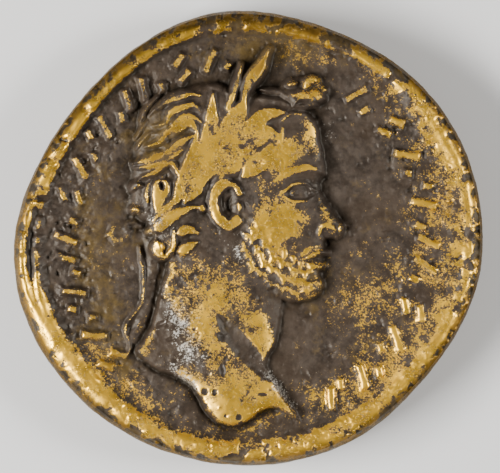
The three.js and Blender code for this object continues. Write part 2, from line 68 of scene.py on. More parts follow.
STEP = 0.05
REACH = 17.2  # the raster runs this far from the middle
AXIS = np.arange(-REACH, REACH + STEP / 2, STEP)
X, Y = np.meshgrid(AXIS, AXIS)


def bearing(x, y):
    """The angle of a place round the middle, from 0 to 360 degrees, anticlockwise from the right."""
    return np.degrees(np.arctan2(y, x)) % 360


ANGLE, RADIUS = bearing(X, Y), np.hypot(X, Y)
print("raster", X.shape, "field at", round(FIELD_TOP, 2), "mm")


# %% Smooth steps and bumps
def columns(*lists):
    """Lists of numbers side by side, as one row for each place."""
    return np.stack(lists, 1)


def compass(angle):
    """cos and sin of an angle in degrees: a step of 1 in that direction."""
    return np.cos(np.radians(angle)), np.sin(np.radians(angle))


def ramp(value, start, end):
    """0 before start, 1 after end, and a smooth S between them."""
    t = np.clip((value - start) / (end - start), 0, 1)
    return t * t * (3 - 2 * t)


def bell(angle, at, half):
    """cos squared of the distance from an angle, gone at half degrees to either side."""
    off = np.abs((angle - at + 180) % 360 - 180) / half
    return np.where(off < 1, np.cos(np.minimum(off, 1) * np.pi / 2) ** 2, 0)


def mound(x, y, at, size, turn=0):
    """exp(-(u² + v²)), with u and v the distances from a point along two turned axes, over two sizes."""
    c, s = compass(turn)
    u = ((x - at[0]) * c + (y - at[1]) * s) / size[0]
    v = ((y - at[1]) * c - (x - at[0]) * s) / size[1]
    return np.exp(-(u * u + v * v))


print("halfway up a step:", ramp(0.5, 0, 1), "and a quarter up:", ramp(0.25, 0, 1).round(3))

# %% [markdown]
# ## The flan
# The blank was cast and then struck by hand, so its outline is an oval with three flattened
# stretches, and the strike sits a little off its middle: the rim is broad at the lower left and
# narrow opposite. Both are formulas of the angle alone, so the same two functions serve the faces
# and the edge.

# %% Outline and rim
FLATS = [(145, 52, 1.2), (322, 34, 0.42), (66, 34, 0.28)]  # angle, half its spread, depth
CREST = 1.0  # the rim's highest line lies this far inside the outline
NICKS = [  # angle, distance inside the outline, depth
    (141.5, 1.0, 0.26), (151.8, 1.0, 0.3), (157.7, 1.1, 0.24), (169.1, 1.2, 0.3), (178.0, 0.6, 0.3),
    (183.6, 0.6, 0.2), (173.3, 1.75, 0.3), (178.6, 1.75, 0.26), (182.5, 1.75, 0.22),
]


def flan_radius(angle):
    """The radius of an ellipse, less a bell for each flattened stretch."""
    a, b = FLAN_LONG / 2, FLAN_SHORT / 2
    c, s = compass(angle)
    return a * b / np.hypot(b * c, a * s) - sum(depth * bell(angle, at, half) for at, half, depth in FLATS)


def rim_share(angle):
    """How broad the rim is against its usual breadth."""
    return 1 + 0.6 * bell(angle, 208, 60) + 0.35 * bell(angle, 285, 60) - 0.38 * bell(angle, 140, 55)


around = np.arange(0, 360, 0.5)
outline = flan_radius(around)[:, None] * columns(*compass(around))
MIDDLE = (outline.max(0) + outline.min(0)) / 2
FIT = (high.x - low.x) / MM / np.ptp(outline[:, 0])
print("outline", np.ptp(outline, axis=0).round(2), "mm, fitted by", round(FIT, 4))


def obverse_rim(angle, radius):
    """Height over the field: a rounded crest that falls as a parabola outwards, and as a smooth step
    inwards. On the right the step ends on a long low shelf, because the strike ran out there. On the
    left a groove divides the rim in two, and nicks break its crest."""
    inset = flan_radius(angle) - radius
    split = bell(angle, 183, 22)
    crest = CREST - 0.3 * split + 0.5 * bell(angle, 218, 34)
    foot = 0.8 + 0.8 * split + 0.5 * bell(angle, 208, 55) + 0.6 * bell(angle, 285, 60)
    foot = foot - 0.35 * np.maximum(bell(angle, 130, 40), bell(angle, 55, 35))
    step = 1 - ramp(inset, crest + 0.25 * foot, crest + foot)
    shelf = 0.25 * (1 - ramp(inset, crest + 0.1, crest + 0.6))
    shelf = shelf + 0.75 * (1 - ramp(inset, crest, crest + 2.8))
    ran_out = np.minimum(1.5 * bell(angle, 5, 75), 1)
    inner = step + (shelf - step) * ran_out
    fall = 1.1 * np.clip(1 - inset / crest, 0, None) ** 2
    fall = fall + 0.5 * split * np.exp(-(((inset - 1.25) / 0.27) ** 2))
    for at, place, depth in NICKS:
        fall = fall + depth * np.exp(-(((angle - at) / 0.9) ** 2) - ((inset - place) / 0.5) ** 2)
    return (RIM_TOP - FIELD_TOP) * inner * (1 - 0.35 * ran_out) - fall


def reverse_rim(angle, radius):
    """The seat rim of the underside: flat, rounded outwards, and stepped down to the field inwards. The
    angle is mirrored, because the coin is turned over to read it."""
    inset = (flan_radius(180 - angle) - radius) / rim_share(180 - angle)
    return REVERSE_FIELD * (1 - ramp(inset, 1.75, 2.35)) - 1.2 * np.clip(0.85 - inset, 0, None) ** 2


# %% [markdown]
# ## Forms of relief
# Two kinds of form make the whole picture. A mass is a rounded plateau with an outline, such as the
# neck. A band is a strip laid along a curve on top of what is below it, such as a leaf, a lock of
# hair, a fold or a stroke. A band may be grooved along its length, which turns one lock into three
# strands, and it may be cut in instead of raised. Both need a curve through a few points, and the
# distance of every place from it.

# %% Curves and distances
def flow(points, count=24, closed=False):
    """A centripetal Catmull-Rom curve through some points: cubic pieces whose speeds at the joints come
    from their neighbours, with the square root of each chord as its time."""
    p = np.asarray(points, float)
    spans = len(p) if closed else len(p) - 1
    at = np.linspace(0, spans, count, endpoint=not closed)
    i = np.minimum(at.astype(int), spans - 1)
    t = (at - i)[:, None]
    longer = np.vstack([2 * p[:1] - p[1:2], p, 2 * p[-1:] - p[-2:-1]])
    a, b, c, d = (p[(i + k) % len(p)] if closed else longer[i + k + 1] for k in (-1, 0, 1, 2))
    before, here, after = (
        np.sqrt(np.maximum(np.linalg.norm(chord, axis=1), 1e-9))[:, None] for chord in (b - a, c - b, d - c)
    )
    leave = here * ((b - a) / before - (c - a) / (before + here) + (c - b) / here)
    arrive = here * ((c - b) / here - (d - b) / (here + after) + (d - c) / after)
    return (
        (2 * t**3 - 3 * t**2 + 1) * b + (t**3 - 2 * t**2 + t) * leave
        + (3 * t**2 - 2 * t**3) * c + (t**3 - t**2) * arrive
    )


def from_segment(start, end, x, y):
    """How far along a segment the nearest point to each place is, from 0 to 1, and the way from there to
    the place."""
    (ax, ay), (dx, dy) = start, end - start
    t = np.clip(((x - ax) * dx + (y - ay) * dy) / (dx * dx + dy * dy + 1e-12), 0, 1)
    return t, x - ax - t * dx, y - ay - t * dy


def beside(path, x, y):
    """For each place: how far along a path its nearest point is, from 0 to 1, and how far off it lies,
    positive on the left."""
    nearest, share, off = np.full(x.shape, np.inf), np.zeros(x.shape), np.zeros(x.shape)
    for k, (start, end) in enumerate(zip(path[:-1], path[1:])):
        t, ox, oy = from_segment(start, end, x, y)
        dx, dy = end - start
        distance = np.hypot(ox, oy)
        closer = distance < nearest
        nearest = np.where(closer, distance, nearest)
        share = np.where(closer, (k + t) / (len(path) - 1), share)
        off = np.where(closer, np.where(dx * oy - dy * ox < 0, -distance, distance), off)
    return share, off


def depth_inside(loop, x, y):
    """How far each place lies inside a closed outline, and 0 outside it."""
    nearest, inside = np.full(x.shape, np.inf), np.zeros(x.shape, bool)
    for start, end in zip(loop, np.roll(loop, -1, axis=0)):
        _, ox, oy = from_segment(start, end, x, y)
        nearest = np.minimum(nearest, np.hypot(ox, oy))
        (ax, ay), (bx, by) = start, end
        if ay != by:
            inside ^= ((ay > y) != (by > y)) & (x < (bx - ax) * (y - ay) / (by - ay) + ax)
    return np.where(inside, nearest, 0)


def window(points, margin):
    """The rows and columns of the raster that a form can reach."""
    lowest, highest = np.min(points, 0) - margin, np.max(points, 0) + margin
    (left, bottom), (right, top) = ((np.array([lowest, highest]) - AXIS[0]) / STEP).round().astype(int)
    return slice(max(bottom, 0), top + 1), slice(max(left, 0), right + 1)


print("a curve through 3 points, as 24:", flow([(0, 0), (1, 1), (2, 0)]).shape)

# %% A mass
def mass(points, edge, crown, shoulder, swells=(), foot=0.16, samples=110):
    """Height edge at the outline, rounding up to crown over the shoulder like a quarter circle, with a
    sloped foot. Swells are soft bumps (at, size, rise) added on it."""
    loop = flow(points, samples, closed=True)
    part = window(loop, STEP)
    x, y = X[part], Y[part]
    depth = depth_inside(loop, x, y)
    round_top = np.sqrt(1 - (1 - np.minimum(depth / shoulder, 1)) ** 2)
    swell = sum(rise * mound(x, y, at, size) for at, size, rise in swells)
    height = np.zeros(X.shape)
    height[part] = (edge + (crown - edge) * round_top + swell) * ramp(depth, -0.06, foot) * (depth > 0)
    return height


pillow = mass([(-1, -1), (1, -1), (1, 1), (-1, 1)], 0.1, 0.5, 0.8)
print("a pillow 2 mm wide stands", pillow.max().round(2), "mm high")


# %% Widths along a band
def wave(bend, power, start=0.01, end=0.99):
    """Half width sin(π t^bend)^power along a band: pointed at both ends, and fullest nearer the start
    where the bend is under 1."""
    return lambda t: np.sin(np.pi * np.clip(t, start, end) ** bend) ** power


def comma(t):
    """A head and a tail."""
    return (0.35 + 0.65 * np.sin(np.pi * (0.15 + 0.8 * t))) * (1 - 0.55 * t)


def earlike(t):
    """Thin where an ear's edge leaves the head, and full down its back and at the lobe."""
    return 0.6 + 0.4 * ramp(t, 0.05, 0.4)


def oval(t):
    """Round at both ends."""
    return np.sqrt(1 - np.clip(2 * t - 1, -0.98, 0.98) ** 2)


def even(t):
    """The same width all along."""
    return np.ones_like(t)


lens, drop, leaf_shape = wave(1, 0.7), wave(0.62, 0.8), wave(0.8, 0.72, 0.02, 0.985)
print("a leaf's width at its base, middle and tip:", leaf_shape(np.array([0, 0.5, 1])).round(2))

# %% Bands and grooves
CURVE_POINTS = 28  # each path is followed by this many
DEEPEST_CUT = -0.12  # no groove goes deeper under the field


def across(path, width, shape):
    """The part of the raster round a curve, and its places' distances from the curve over half its
    width, from -1 to 1."""
    curve = flow(path, CURVE_POINTS)
    part = window(curve, width)
    along, off = beside(curve, X[part], Y[part])
    return part, np.clip(off / (width / 2 * shape(along)), -1, 1)


def band(face, path, width, rise, shape=even, strands=1, square=2.4, groove=0.45, floor=0.0):
    """The height is the ground plus rise times (1 - |s|^square)^0.6, where s is the distance across. With
    strands, a cosine of s cuts grooves between them. The floor is the least ground the band lies on."""
    part, s = across(path, width, shape)
    form = rise * (1 - np.abs(s) ** square) ** 0.6
    if strands > 1:
        grooves = 0.5 + 0.5 * np.cos(np.pi * (strands * s + strands + 1))
        form = form * (1 - groove * grooves * (1 - s * s))
    lifted = np.where(np.abs(s) < 1, np.maximum(face["ground"][part], floor) + form, 0)
    face["height"][part] = np.maximum(face["height"][part], lifted)


def bands(face, rows, **finish):
    """One band for each row of path, width and rise, all with the same finish."""
    for path, width, rise in rows:
        band(face, path, width, rise, **finish)


def cut(face, path, width, depth, shape=lens):
    """A groove: the height less depth times (1 - s²), with s the distance across."""
    part, s = across(path, width, shape)
    face["height"][part] = np.maximum(face["height"][part] - depth * (1 - s * s), DEEPEST_CUT)


def new_face(bare):
    """A face starts as its bare rim, in heights over its field."""
    return {"height": bare.copy(), "ground": bare.copy(), "bare": bare}


obverse = new_face(obverse_rim(ANGLE, RADIUS))
print("rim stands", obverse["bare"].max().round(2), "mm over the field")

# %% [markdown]
# ## The head
# The face is a calm one of the maker's own, on the usual canon: hairline to brow, brow to the base of
# the nose, and that to the chin are equal thirds. The neck ends in a curved cut with a point in front.

# %% Face, neck and hair as masses
def on_face(forward, up):
    """A place on the face, in thirds: forward of its plane, and up from the chin."""
    return (FACE_PLANE + forward * FACE_THIRD, FACE_CHIN + up * FACE_THIRD)


PROFILE = [(-0.12, 3.02), (0, 2.6), (0.06, 2.12), (-0.02, 1.9), (0.15, 1.55), (0.4, 1.18), (0.33, 1.03),
           (0.08, 0.98), (0.06, 0.87), (0.14, 0.76), (0.02, 0.67), (0.1, 0.57), (-0.03, 0.43), (0.06, 0.22),
           (-0.1, 0.02)]
BEHIND_FACE = [(3.0, -4.5), (1.4, -3.7), (0.1, -2.5), (-0.7, -1.0), (-1.1, 1.0), (-1.2, 4.5), (0.4, 7.8),
               (2.8, 9.3)]
NECK = [(2.6, -3.4), (2.45, -4.9), (2.3, -6.3), (1.9, -7.6), (1.35, -8.8), (2.2, -10.4), (3.1, -11.8),
        (3.8, -12.8), (2.9, -12.35), (1.9, -11.85), (1, -12.1), (0.1, -12.8), (-0.9, -13.1),
        (-1.95, -12.85), (-2.8, -12.1), (-3.35, -11.1), (-3.9, -10.3), (-4.9, -9.65), (-5.9, -9.35),
        (-6.9, -8.7), (-7.8, -7.9), (-7.25, -7.1), (-6.75, -6.2), (-6.4, -5.1), (-6.05, -3.8), (-5.7, -2.5),
        (-5.2, -0.9), (-4.2, 1.2), (-1.6, 2), (1.4, -0.6)]
HAIR = [(5, 8.9), (5.2, 9.6), (4.6, 10.3), (3.5, 10.5), (2.3, 10.3), (0.9, 10.2), (-0.8, 10.4),
        (-2.5, 10.9), (-4.2, 10.6), (-5.6, 10), (-6.7, 9.1), (-7.3, 8), (-7.7, 6.7), (-8, 5.3),
        (-8.1, 3.9), (-8.2, 2.7), (-7.9, 1.6), (-7, 0.9), (-6.7, 0), (-6.4, -1), (-5.5, -1.4),
        (-4.5, -1.1), (-3.6, -0.1), (-2.7, 1.2), (-2, 3.2), (-0.4, 4), (0.9, 4.1), (1.5, 5.3), (2.1, 6.5),
        (2.7, 7.5), (3.6, 8.4), (4.5, 8.9)]

face_mass = mass([on_face(*p) for p in PROFILE] + BEHIND_FACE, 0.34, 0.98, 2.9, [
    (on_face(-0.78, 1.25), (1.5, 1.2), 0.14),  # cheekbone
    (on_face(-0.28, 1.8), (0.9, 0.7), -0.3),  # eye socket
    (on_face(-0.05, 2.2), (0.9, 0.5), 0.12),  # brow
    (on_face(-0.32, 0.62), (0.55, 0.5), -0.12),  # corner of the mouth
    (on_face(-0.55, 0.75), (0.8, 0.9), -0.06),  # hollow of the cheek
    (on_face(-0.2, 0.25), (0.9, 0.55), 0.16),  # chin
    (on_face(0.14, 1.25), (0.42, 0.7), 0.2),  # side of the nose
    (on_face(-0.75, 2.5), (1.4, 1.2), 0.08),  # temple
])
neck_mass = mass(NECK, 0.4, 0.84, 2.4, [
    ((-2.1, -5.2), (1.8, 4), 0.16),  # the muscle down the neck
    ((0.3, -5.2), (1, 2.4), 0.06),
    ((-0.2, -7.6), (1.5, 2.4), -0.16),  # the hollow between them
    ((1.9, -4.2), (2, 0.9), -0.22), ((2.1, -6.4), (0.8, 2.6), -0.24),  # under the jaw, and the throat
    ((-1.2, -11.3), (1.6, 1.3), 0.2),  # the rounded end of the cut
])
hair_mass = mass(HAIR, 0.22, 0.84, 1.9, [
    ((-0.6, 6.4), (2.1, 2.6), 0.3), ((-2.2, 4.9), (1.5, 1.7), 0.28),  # the middle of the wreath
    ((-3.7, 4.8), (0.7, 1), 0.3),
    ((-6.2, 7), (1.8, 3), -0.16), ((2, 10), (2.2, 0.8), -0.12),
], foot=0.45)
obverse["ground"] = np.maximum.reduce([obverse["bare"], face_mass, neck_mass, hair_mass])
obverse["height"] = obverse["ground"].copy()
cut(obverse, [(-2, -5.4), (-0.9, -6.9), (0.5, -8.5), (1.6, -9.9)], 1.5, 0.24)
cut(obverse, [(-7.2, -8.6), (-5.9, -9.55), (-4.9, -9.85), (-3.95, -10.5), (-3.4, -11.3), (-2.85, -12.3),
              (-1.95, -13.05), (-0.9, -13.3), (0.2, -13), (1.1, -12.25), (1.9, -12.05)],
    0.34, 0.4, shape=even)
obverse["ground"] = obverse["height"].copy()
print("masses reach", obverse["ground"][RADIUS < 13].max().round(2), "mm")

# %% Features of the face
FEATURES = [  # path in thirds, width, rise
    ([(0.07, 2.1), (-0.2, 2.18), (-0.5, 2.12), (-0.82, 1.95)], 0.62, 0.15),  # brow
    ([(-0.13, 1.77), (-0.3, 1.8), (-0.5, 1.77)], 0.8, 0.22),  # eyeball
    ([(-0.08, 1.8), (-0.26, 1.93), (-0.46, 1.9), (-0.7, 1.74)], 0.3, 0.3),  # upper lid
    ([(-0.12, 1.7), (-0.28, 1.63), (-0.46, 1.64), (-0.66, 1.72)], 0.24, 0.2),  # lower lid
    ([(0.28, 1.02), (0.2, 1.2), (0.04, 1.24), (-0.04, 1.08), (0.04, 0.98)], 0.36, 0.2),  # nose wing
    ([(0.14, 0.77), (-0.04, 0.78), (-0.28, 0.68)], 0.42, 0.22),  # upper lip
    ([(0.1, 0.56), (-0.08, 0.54), (-0.24, 0.62)], 0.46, 0.2),  # lower lip
]
for path, width, rise in FEATURES:
    band(obverse, [on_face(*p) for p in path], width, rise, shape=lens, square=2)
for path, width, depth in [
    ([(0.1, 0.66), (-0.1, 0.67), (-0.3, 0.64)], 0.16, 0.2),  # between the lips
    ([(-0.18, 1.79), (-0.24, 1.74)], 0.26, 0.16),  # pupil
    ([(0.16, 1.04), (0.26, 1.04)], 0.2, 0.14),  # nostril
    ([(-0.1, 1.98), (-0.3, 2.02), (-0.6, 1.92)], 0.2, 0.12),  # fold over the lid
]:
    cut(obverse, [on_face(*p) for p in path], width, depth)
print(len(FEATURES), "features of the face")

# %% [markdown]
# ## Hair, beard and wreath
# A die cutter drew hair as locks in rows, each an S or a comma of two or three strands. The leaves of
# the wreath lie over it, from the tie at the nape up to the brow.

# %% Locks, curls, ear
WIDE_LOCK = 0.5  # a wider lock is parted into two strands
STRANDS = [  # path from the crown to the nape, width, rise
    ([(-3.2, 9.9), (-4.1, 10), (-5.2, 9.75), (-6.1, 9.2), (-6.8, 8.5)], 0.76, 0.36),
    ([(-3.25, 8.85), (-3.75, 9.25), (-4.5, 9.1), (-5.3, 8.7), (-5.65, 8), (-6.5, 7.8)], 0.72, 0.36),
    ([(-3.2, 8.05), (-3.8, 8.5), (-4.5, 8.45), (-5.15, 7.95), (-5.7, 7.45), (-6.5, 7.15)], 0.62, 0.34),
    ([(-3.4, 7.35), (-3.95, 8), (-4.65, 7.85), (-5.5, 7.3), (-6.15, 6.65), (-7.1, 6.3)], 1.1, 0.42),
    ([(-3.75, 7.1), (-4.5, 6.75), (-5.15, 6.25), (-6, 5.75), (-7.1, 5.4), (-7.95, 5.2)], 1.05, 0.42),
    ([(-4.4, 6.1), (-5.15, 5.7), (-6, 5.2), (-6.95, 4.95), (-7.85, 4.9)], 0.84, 0.38),
    ([(-4.75, 4.2), (-4.9, 4.75), (-5.3, 5.2), (-5.8, 5.05), (-6.35, 4.6), (-7.1, 4.3), (-7.6, 4.05)],
     0.62, 0.4),
    ([(-6.2, 9.9), (-7, 9), (-7.4, 8)], 0.42, 0.22), ([(-6.6, 7.4), (-7.2, 6.9), (-7.7, 6.2)], 0.4, 0.22),
    ([(-6.9, 8.3), (-7.3, 7.6), (-7.7, 6.9)], 0.36, 0.2), ([(-6.7, 4), (-7, 3.2), (-6.9, 2.3)], 0.42, 0.26),
    ([(-2.7, 10.6), (-1.6, 10.4), (-1, 9.7)], 0.4, 0.2), ([(0.9, 10.3), (2, 10.2), (3.1, 10)], 0.42, 0.2),
    ([(0.7, 9.7), (1.8, 9.6), (2.9, 9.3)], 0.4, 0.2), ([(3.2, 9.2), (4, 9.1), (4.9, 9.3)], 0.42, 0.24),
    ([(2.3, 8.1), (3, 8.6), (3.9, 8.6)], 0.36, 0.2), ([(2, 6.1), (2.4, 6.9), (2.5, 7.7)], 0.36, 0.16),
]
for path, width, rise in STRANDS:
    band(obverse, path, width, rise, shape=lens, square=2, floor=0.42,
         strands=2 if width > WIDE_LOCK else 1, groove=0.25)
band(obverse, [(-5.85, 4.2), (-6.05, 3), (-6.35, 1.75)], 1.5, 0.36, shape=drop, square=2)
cut(obverse, [(-6.1, 3.95), (-5.9, 3.6), (-5.95, 3.3)], 0.5, 0.5)
cut(obverse, [(-5.5, 4.5), (-5.75, 4.15), (-6.2, 4.1)], 0.22, 0.3)
CURLS = [  # path from the head to the tail, width, rise
    ([(-6.35, -0.15), (-6.15, -1.05), (-5.55, -1.4)], 1, 0.5),
    ([(-5.75, -1.4), (-5.2, -0.9), (-5.05, 0.5)], 0.6, 0.42),
    ([(-4.75, 0.3), (-4.1, 0.6), (-3.35, 0.35)], 0.85, 0.5),
    ([(-4.75, -1), (-4.1, -0.6), (-3.45, -0.3)], 0.9, 0.5),
    ([(-8.05, 1.95), (-7.75, 2), (-7.45, 1.9)], 0.6, 0.44),
    ([(-8, 3.3), (-7.75, 3.75), (-7.3, 3.6)], 0.6, 0.44), ([(-3.3, 2.15), (-2.8, 1.95)], 0.7, 0.5),
    ([(-6.95, 0.4), (-6.1, 0.8), (-5.3, 1.4), (-4.3, 1.95), (-3.3, 2.2)], 1.1, 0.36),
]
bands(obverse, CURLS, shape=drop, square=2, floor=0.4)
band(obverse, [(-6.6, 1.1), (-5.55, 2.1), (-4.5, 2.95)], 0.62, 0.4, strands=2, groove=0.6)
band(obverse, [(-1.2, 3.5), (-1.25, 1.2)], 1.5, 0.1, shape=oval, floor=0.55)
band(obverse, [(-0.5, 3.1), (-0.95, 3.7), (-1.7, 3.65), (-2.25, 2.9), (-2.25, 2), (-1.8, 1.25),
               (-1.15, 0.85), (-0.75, 1.25)], 0.95, 0.46, shape=earlike, floor=0.6)
bands(obverse, [([(-1.6, 3), (-1.65, 2.3), (-1.3, 1.7)], 0.3, 0.3),
                ([(-0.62, 2.6), (-0.5, 2.1), (-0.6, 1.7)], 0.46, 0.34)], shape=lens)
cut(obverse, [(-1.05, 2.95), (-1.3, 2.4), (-1.1, 1.8)], 0.5, 0.24)
print("strands:", len(STRANDS), "curls:", len(CURLS))

# %% Beard
ROWS = [  # line of the roots, number of locks, direction at its start and end, length
    ([(-0.35, 0.4), (-0.3, -0.8), (0.3, -2), (1.3, -3), (2.7, -3.8), (4.3, -3.85)], 13, (-80, -10), 0.95),
    ([(0.1, 0.8), (0.35, -0.5), (1, -1.6), (1.9, -2.4), (3.2, -3), (4.6, -3.1)], 12, (-85, -20), 0.9),
    ([(0.55, 1.3), (0.95, 0), (1.6, -1), (2.6, -1.8), (3.6, -2.3), (4.6, -2.4)], 11, (-90, -35), 0.85),
    ([(1.6, 0.3), (2.3, -0.6), (3.2, -1.4), (4.1, -1.7)], 6, (-95, -60), 0.75),
]
for line, count, (begin, end), length in ROWS:
    for k, root in enumerate(flow(line, count)):
        c, s = compass(begin + (end - begin) * k / (count - 1) + (18, -14, 4)[k % 3])
        ahead, side = np.array([c, s]), np.array([-s, c])
        bend, tip = (root + (on * ahead + off * side) * length for on, off in ((0.45, 0.2), (0.95, -0.1)))
        band(obverse, [root, bend, tip], 0.46, 0.14, shape=lens, square=2)
band(obverse, [on_face(0.1, 0.92), on_face(-0.12, 0.88), on_face(-0.32, 0.72), on_face(-0.4, 0.5)],
     0.42, 0.12, shape=lens, strands=3)
print("beard:", sum(count for _, count, _, _ in ROWS), "locks")

# %% Wreath and ribbons
LEAVES = [  # path from the base to the tip, width
    ([(-3.05, 4.8), (-2.6, 6.95), (-2.35, 10.1)], 1.25), ([(-1.55, 5.5), (-0.95, 7.8), (-0.1, 9.65)], 1.7),
    ([(-1.35, 9), (-0.9, 10.2), (-0.6, 11.05), (-0.38, 12.1)], 0.66),
    ([(-0.25, 9.6), (0.15, 10.8), (0.85, 11.75), (1.6, 13.2)], 1.15),
    ([(-0.2, 7.2), (0.6, 7.95), (1.4, 8.6), (2.65, 8.75)], 1.15),
    ([(-0.1, 6.2), (0.7, 6.95), (1.4, 7.35), (2.3, 6.95)], 1.3),
    ([(-0.3, 4.3), (0.7, 5.1), (1.35, 5.8), (1.7, 6.5)], 1.3),
    ([(-4.95, 2.45), (-4.4, 3.8), (-3.95, 5.2), (-3.5, 7.15)], 1.2),
    ([(-4.3, 2.5), (-3.4, 3.7), (-2.6, 5)], 1.15),
]
for path, width in LEAVES:
    band(obverse, path, width, 0.5, shape=leaf_shape, square=4, floor=0.5)
band(obverse, [(2.3, 10.2), (3.4, 10.35), (5.5, 10.3)], 1.9, 0.4, shape=oval, square=2)
bands(obverse, [
    ([(2.8, 10.6), (3.4, 10.75)], 0.46, 0.4), ([(4, 10.4), (4.35, 10.9), (4.95, 10.95)], 0.75, 0.4),
    ([(4.15, 10.05), (5.35, 9.75)], 1, 0.4), ([(3.95, 10.1), (3.65, 9.75), (3.3, 9.3)], 0.42, 0.4),
], shape=oval, floor=0.42)
for path, depth in [([(-3.4, 5.0), (-3.9, 4.0)], 0.4), ([(0.25, 6.7), (0.25, 5.7)], 0.16),
                    ([(0.2, 7.2), (0.6, 7.5)], 0.3), ([(-1.95, 4.5), (-3.2, 3.2)], 0.4)]:
    cut(obverse, path, 0.2, depth)
bands(obverse, [
    ([(-7.5, -0.6), (-7.25, -2.8), (-7.35, -4.6), (-8.5, -6.3), (-8.1, -7.6), (-8.5, -8.4)], 0.3, 0.26),
    ([(-6.9, 0.2), (-6.5, -1.8), (-6.8, -3.8), (-7.2, -5.6), (-7.9, -7)], 0.8, 0.18),
    ([(-8.4, 0.9), (-7.9, 1.1), (-7.3, 0.8)], 0.34, 0.2),
])
band(obverse, [(-9.7, 0.25), (-8.1, 0.45)], 1.8, 0.2, shape=oval, square=2)
cut(obverse, [(-9.3, 0.3), (-8.5, 0.4)], 0.8, 0.14)
print("leaves:", len(LEAVES))

# %% [markdown]
# ## Rows of strokes
# Where a real coin has its inscription, a ring of marks runs round the head. They are plain
# wedge-ended bars in twos, long and short, that all lean the same way and never touch. They spell
# nothing.

# %% Strokes
MARK_WIDTH = 0.66
WAIST, BEVEL = 0.9, 0.16  # a bar's waist over its ends' width, and the breadth of its bevel
MARKS = [  # along, up, lean in degrees, length; in units of the mark's height
    [(-0.3, 0, 20, 1), (0.3, -0.28, 20, 0.44)], [(-0.3, 0.28, 26, 0.44), (0.28, 0, 26, 1)],
    [(0, 0.33, 60, 0.66), (0, -0.28, 60, 0.66)], [(-0.3, -0.26, 28, 0.48), (0.27, 0.04, 28, 0.92)],
    [(-0.2, 0, 36, 1), (0.4, -0.28, 36, 0.4)],
]


def bar(face, start, end, width, rise):
    """A straight stroke of a wedge-ended punch: waisted, flared to square ends, and flat on top. From
    its border inwards its height is a quarter circle, a short bevel long."""
    part = window([start, end], width)
    long = np.hypot(end[0] - start[0], end[1] - start[1])
    ahead = (np.asarray(end) - start) / long
    x, y = X[part] - start[0], Y[part] - start[1]
    along, off = x * ahead[0] + y * ahead[1], np.abs(y * ahead[0] - x * ahead[1])
    share = np.clip(along / long, 0, 1)
    half = width / 2 * (WAIST + (1 - WAIST) * np.abs(2 * share - 1) ** 2.5)
    depth = np.minimum(half - off, np.minimum(along, long - along))
    form = rise * np.sqrt(1 - (1 - np.clip(depth / BEVEL, 0, 1)) ** 2)
    lifted = np.where(depth > 0, face["ground"][part] + form, 0)
    face["height"][part] = np.maximum(face["height"][part], lifted)


def marks(face, start, end, count, rise):
    """Marks at even angles along an arc, clockwise, with their tops outwards. A sine of the mark's
    number makes some stand a little lower than others."""
    for i in range(count):
        c, s = compass(start + (end - start) * i / (count - 1) - 90)
        spin = np.array([[c, -s], [s, c]])
        for x, y, lean, length in MARKS[(i * 2 + count) % len(MARKS)]:
            reach = np.array(compass(lean)[::-1]) * length / 2
            ends = np.array([(x, y) - reach, (x, y) + reach]) * MARK_HEIGHT + (0, MARK_RADIUS)
            bar(face, *(ends @ spin.T), MARK_WIDTH, rise * (0.8 + 0.2 * np.sin(7.1 * i + y)))


marks(obverse, 222, 100, 12, 0.38)
marks(obverse, 50, -60, 10, 0.3)
print("relief reaches", obverse["height"][RADIUS < 13].max().round(2), "mm before wear")

# %% [markdown]
# ## The other side
# The back of such a coin shows a standing figure, an altar and a ground line. It is kept plainer and
# shallower, and it is drawn upright here and turned over when the mesh is made.

# %% The standing figure
GOWN = [(-0.9, 6.7), (-2, 6.2), (-1.7, 4.6), (-1.35, 3.2), (-1.9, 1.4), (-2.1, -2), (-2.4, -5.5),
        (-2.7, -8.9), (0, -9.2), (2.8, -8.9), (2.4, -5.5), (2.1, -2), (1.9, 1.2), (1.45, 3.2), (1.8, 4.8),
        (2, 6.2), (0.9, 6.7)]
reverse = new_face(reverse_rim(ANGLE, RADIUS))
reverse["ground"] = np.maximum(reverse["bare"], mass(GOWN, 0.1, 0.22, 1.2))
reverse["height"] = reverse["ground"].copy()
for side in np.linspace(-1, 1, 7):
    band(reverse, [(side * 0.9, 1.6), (side * 1.5, -3.4), (side * 2.3, -8.8)], 0.42, 0.13)
for i in range(5):
    fold = [(-1.8, 1.9 - 0.7 * i), (0.1, 1.5 - 0.6 * i), (1.7, 3.2 - 0.4 * i)]
    band(reverse, fold, 0.4, 0.15, shape=lens)
PARTS = [  # path, width, rise, shape
    ([(0, 6.4), (0, 7.4)], 0.9, 0.22, even), ([(-0.05, 6.9), (0, 8.1), (0.1, 9.5)], 2.1, 0.36, lens),
    ([(0.5, 8.5), (1.5, 8.1)], 0.9, 0.3, lens), ([(-1.6, 6.2), (-3, 4.3), (-4.9, 4.7)], 1, 0.32, comma),
    ([(-6.6, 4.9), (-5.5, 5.1), (-4.5, 4.9)], 0.9, 0.3, lens),
    ([(1.6, 6), (3, 3.8), (2.4, 2.6)], 0.95, 0.32, comma),
    ([(2.3, 1.8), (3.1, 4.8), (4.3, 8.2)], 1.7, 0.36, lambda t: 0.25 + 0.75 * t),
    ([(3.5, 8.7), (5, 8.3)], 0.8, 0.36, lens), ([(-6.2, -8.9), (-6.2, -5.6)], 1.5, 0.22, even),
    ([(-7.3, -5.4), (-5.1, -5.4)], 0.6, 0.28, even), ([(-8.4, -9.6), (8.4, -9.6)], 0.36, 0.24, even),
]
for path, width, rise, shape in PARTS:
    band(reverse, path, width, rise, shape=shape)
marks(reverse, 220, 118, 8, 0.3)
marks(reverse, 62, -40, 8, 0.3)
print("reverse:", len(PARTS), "parts")

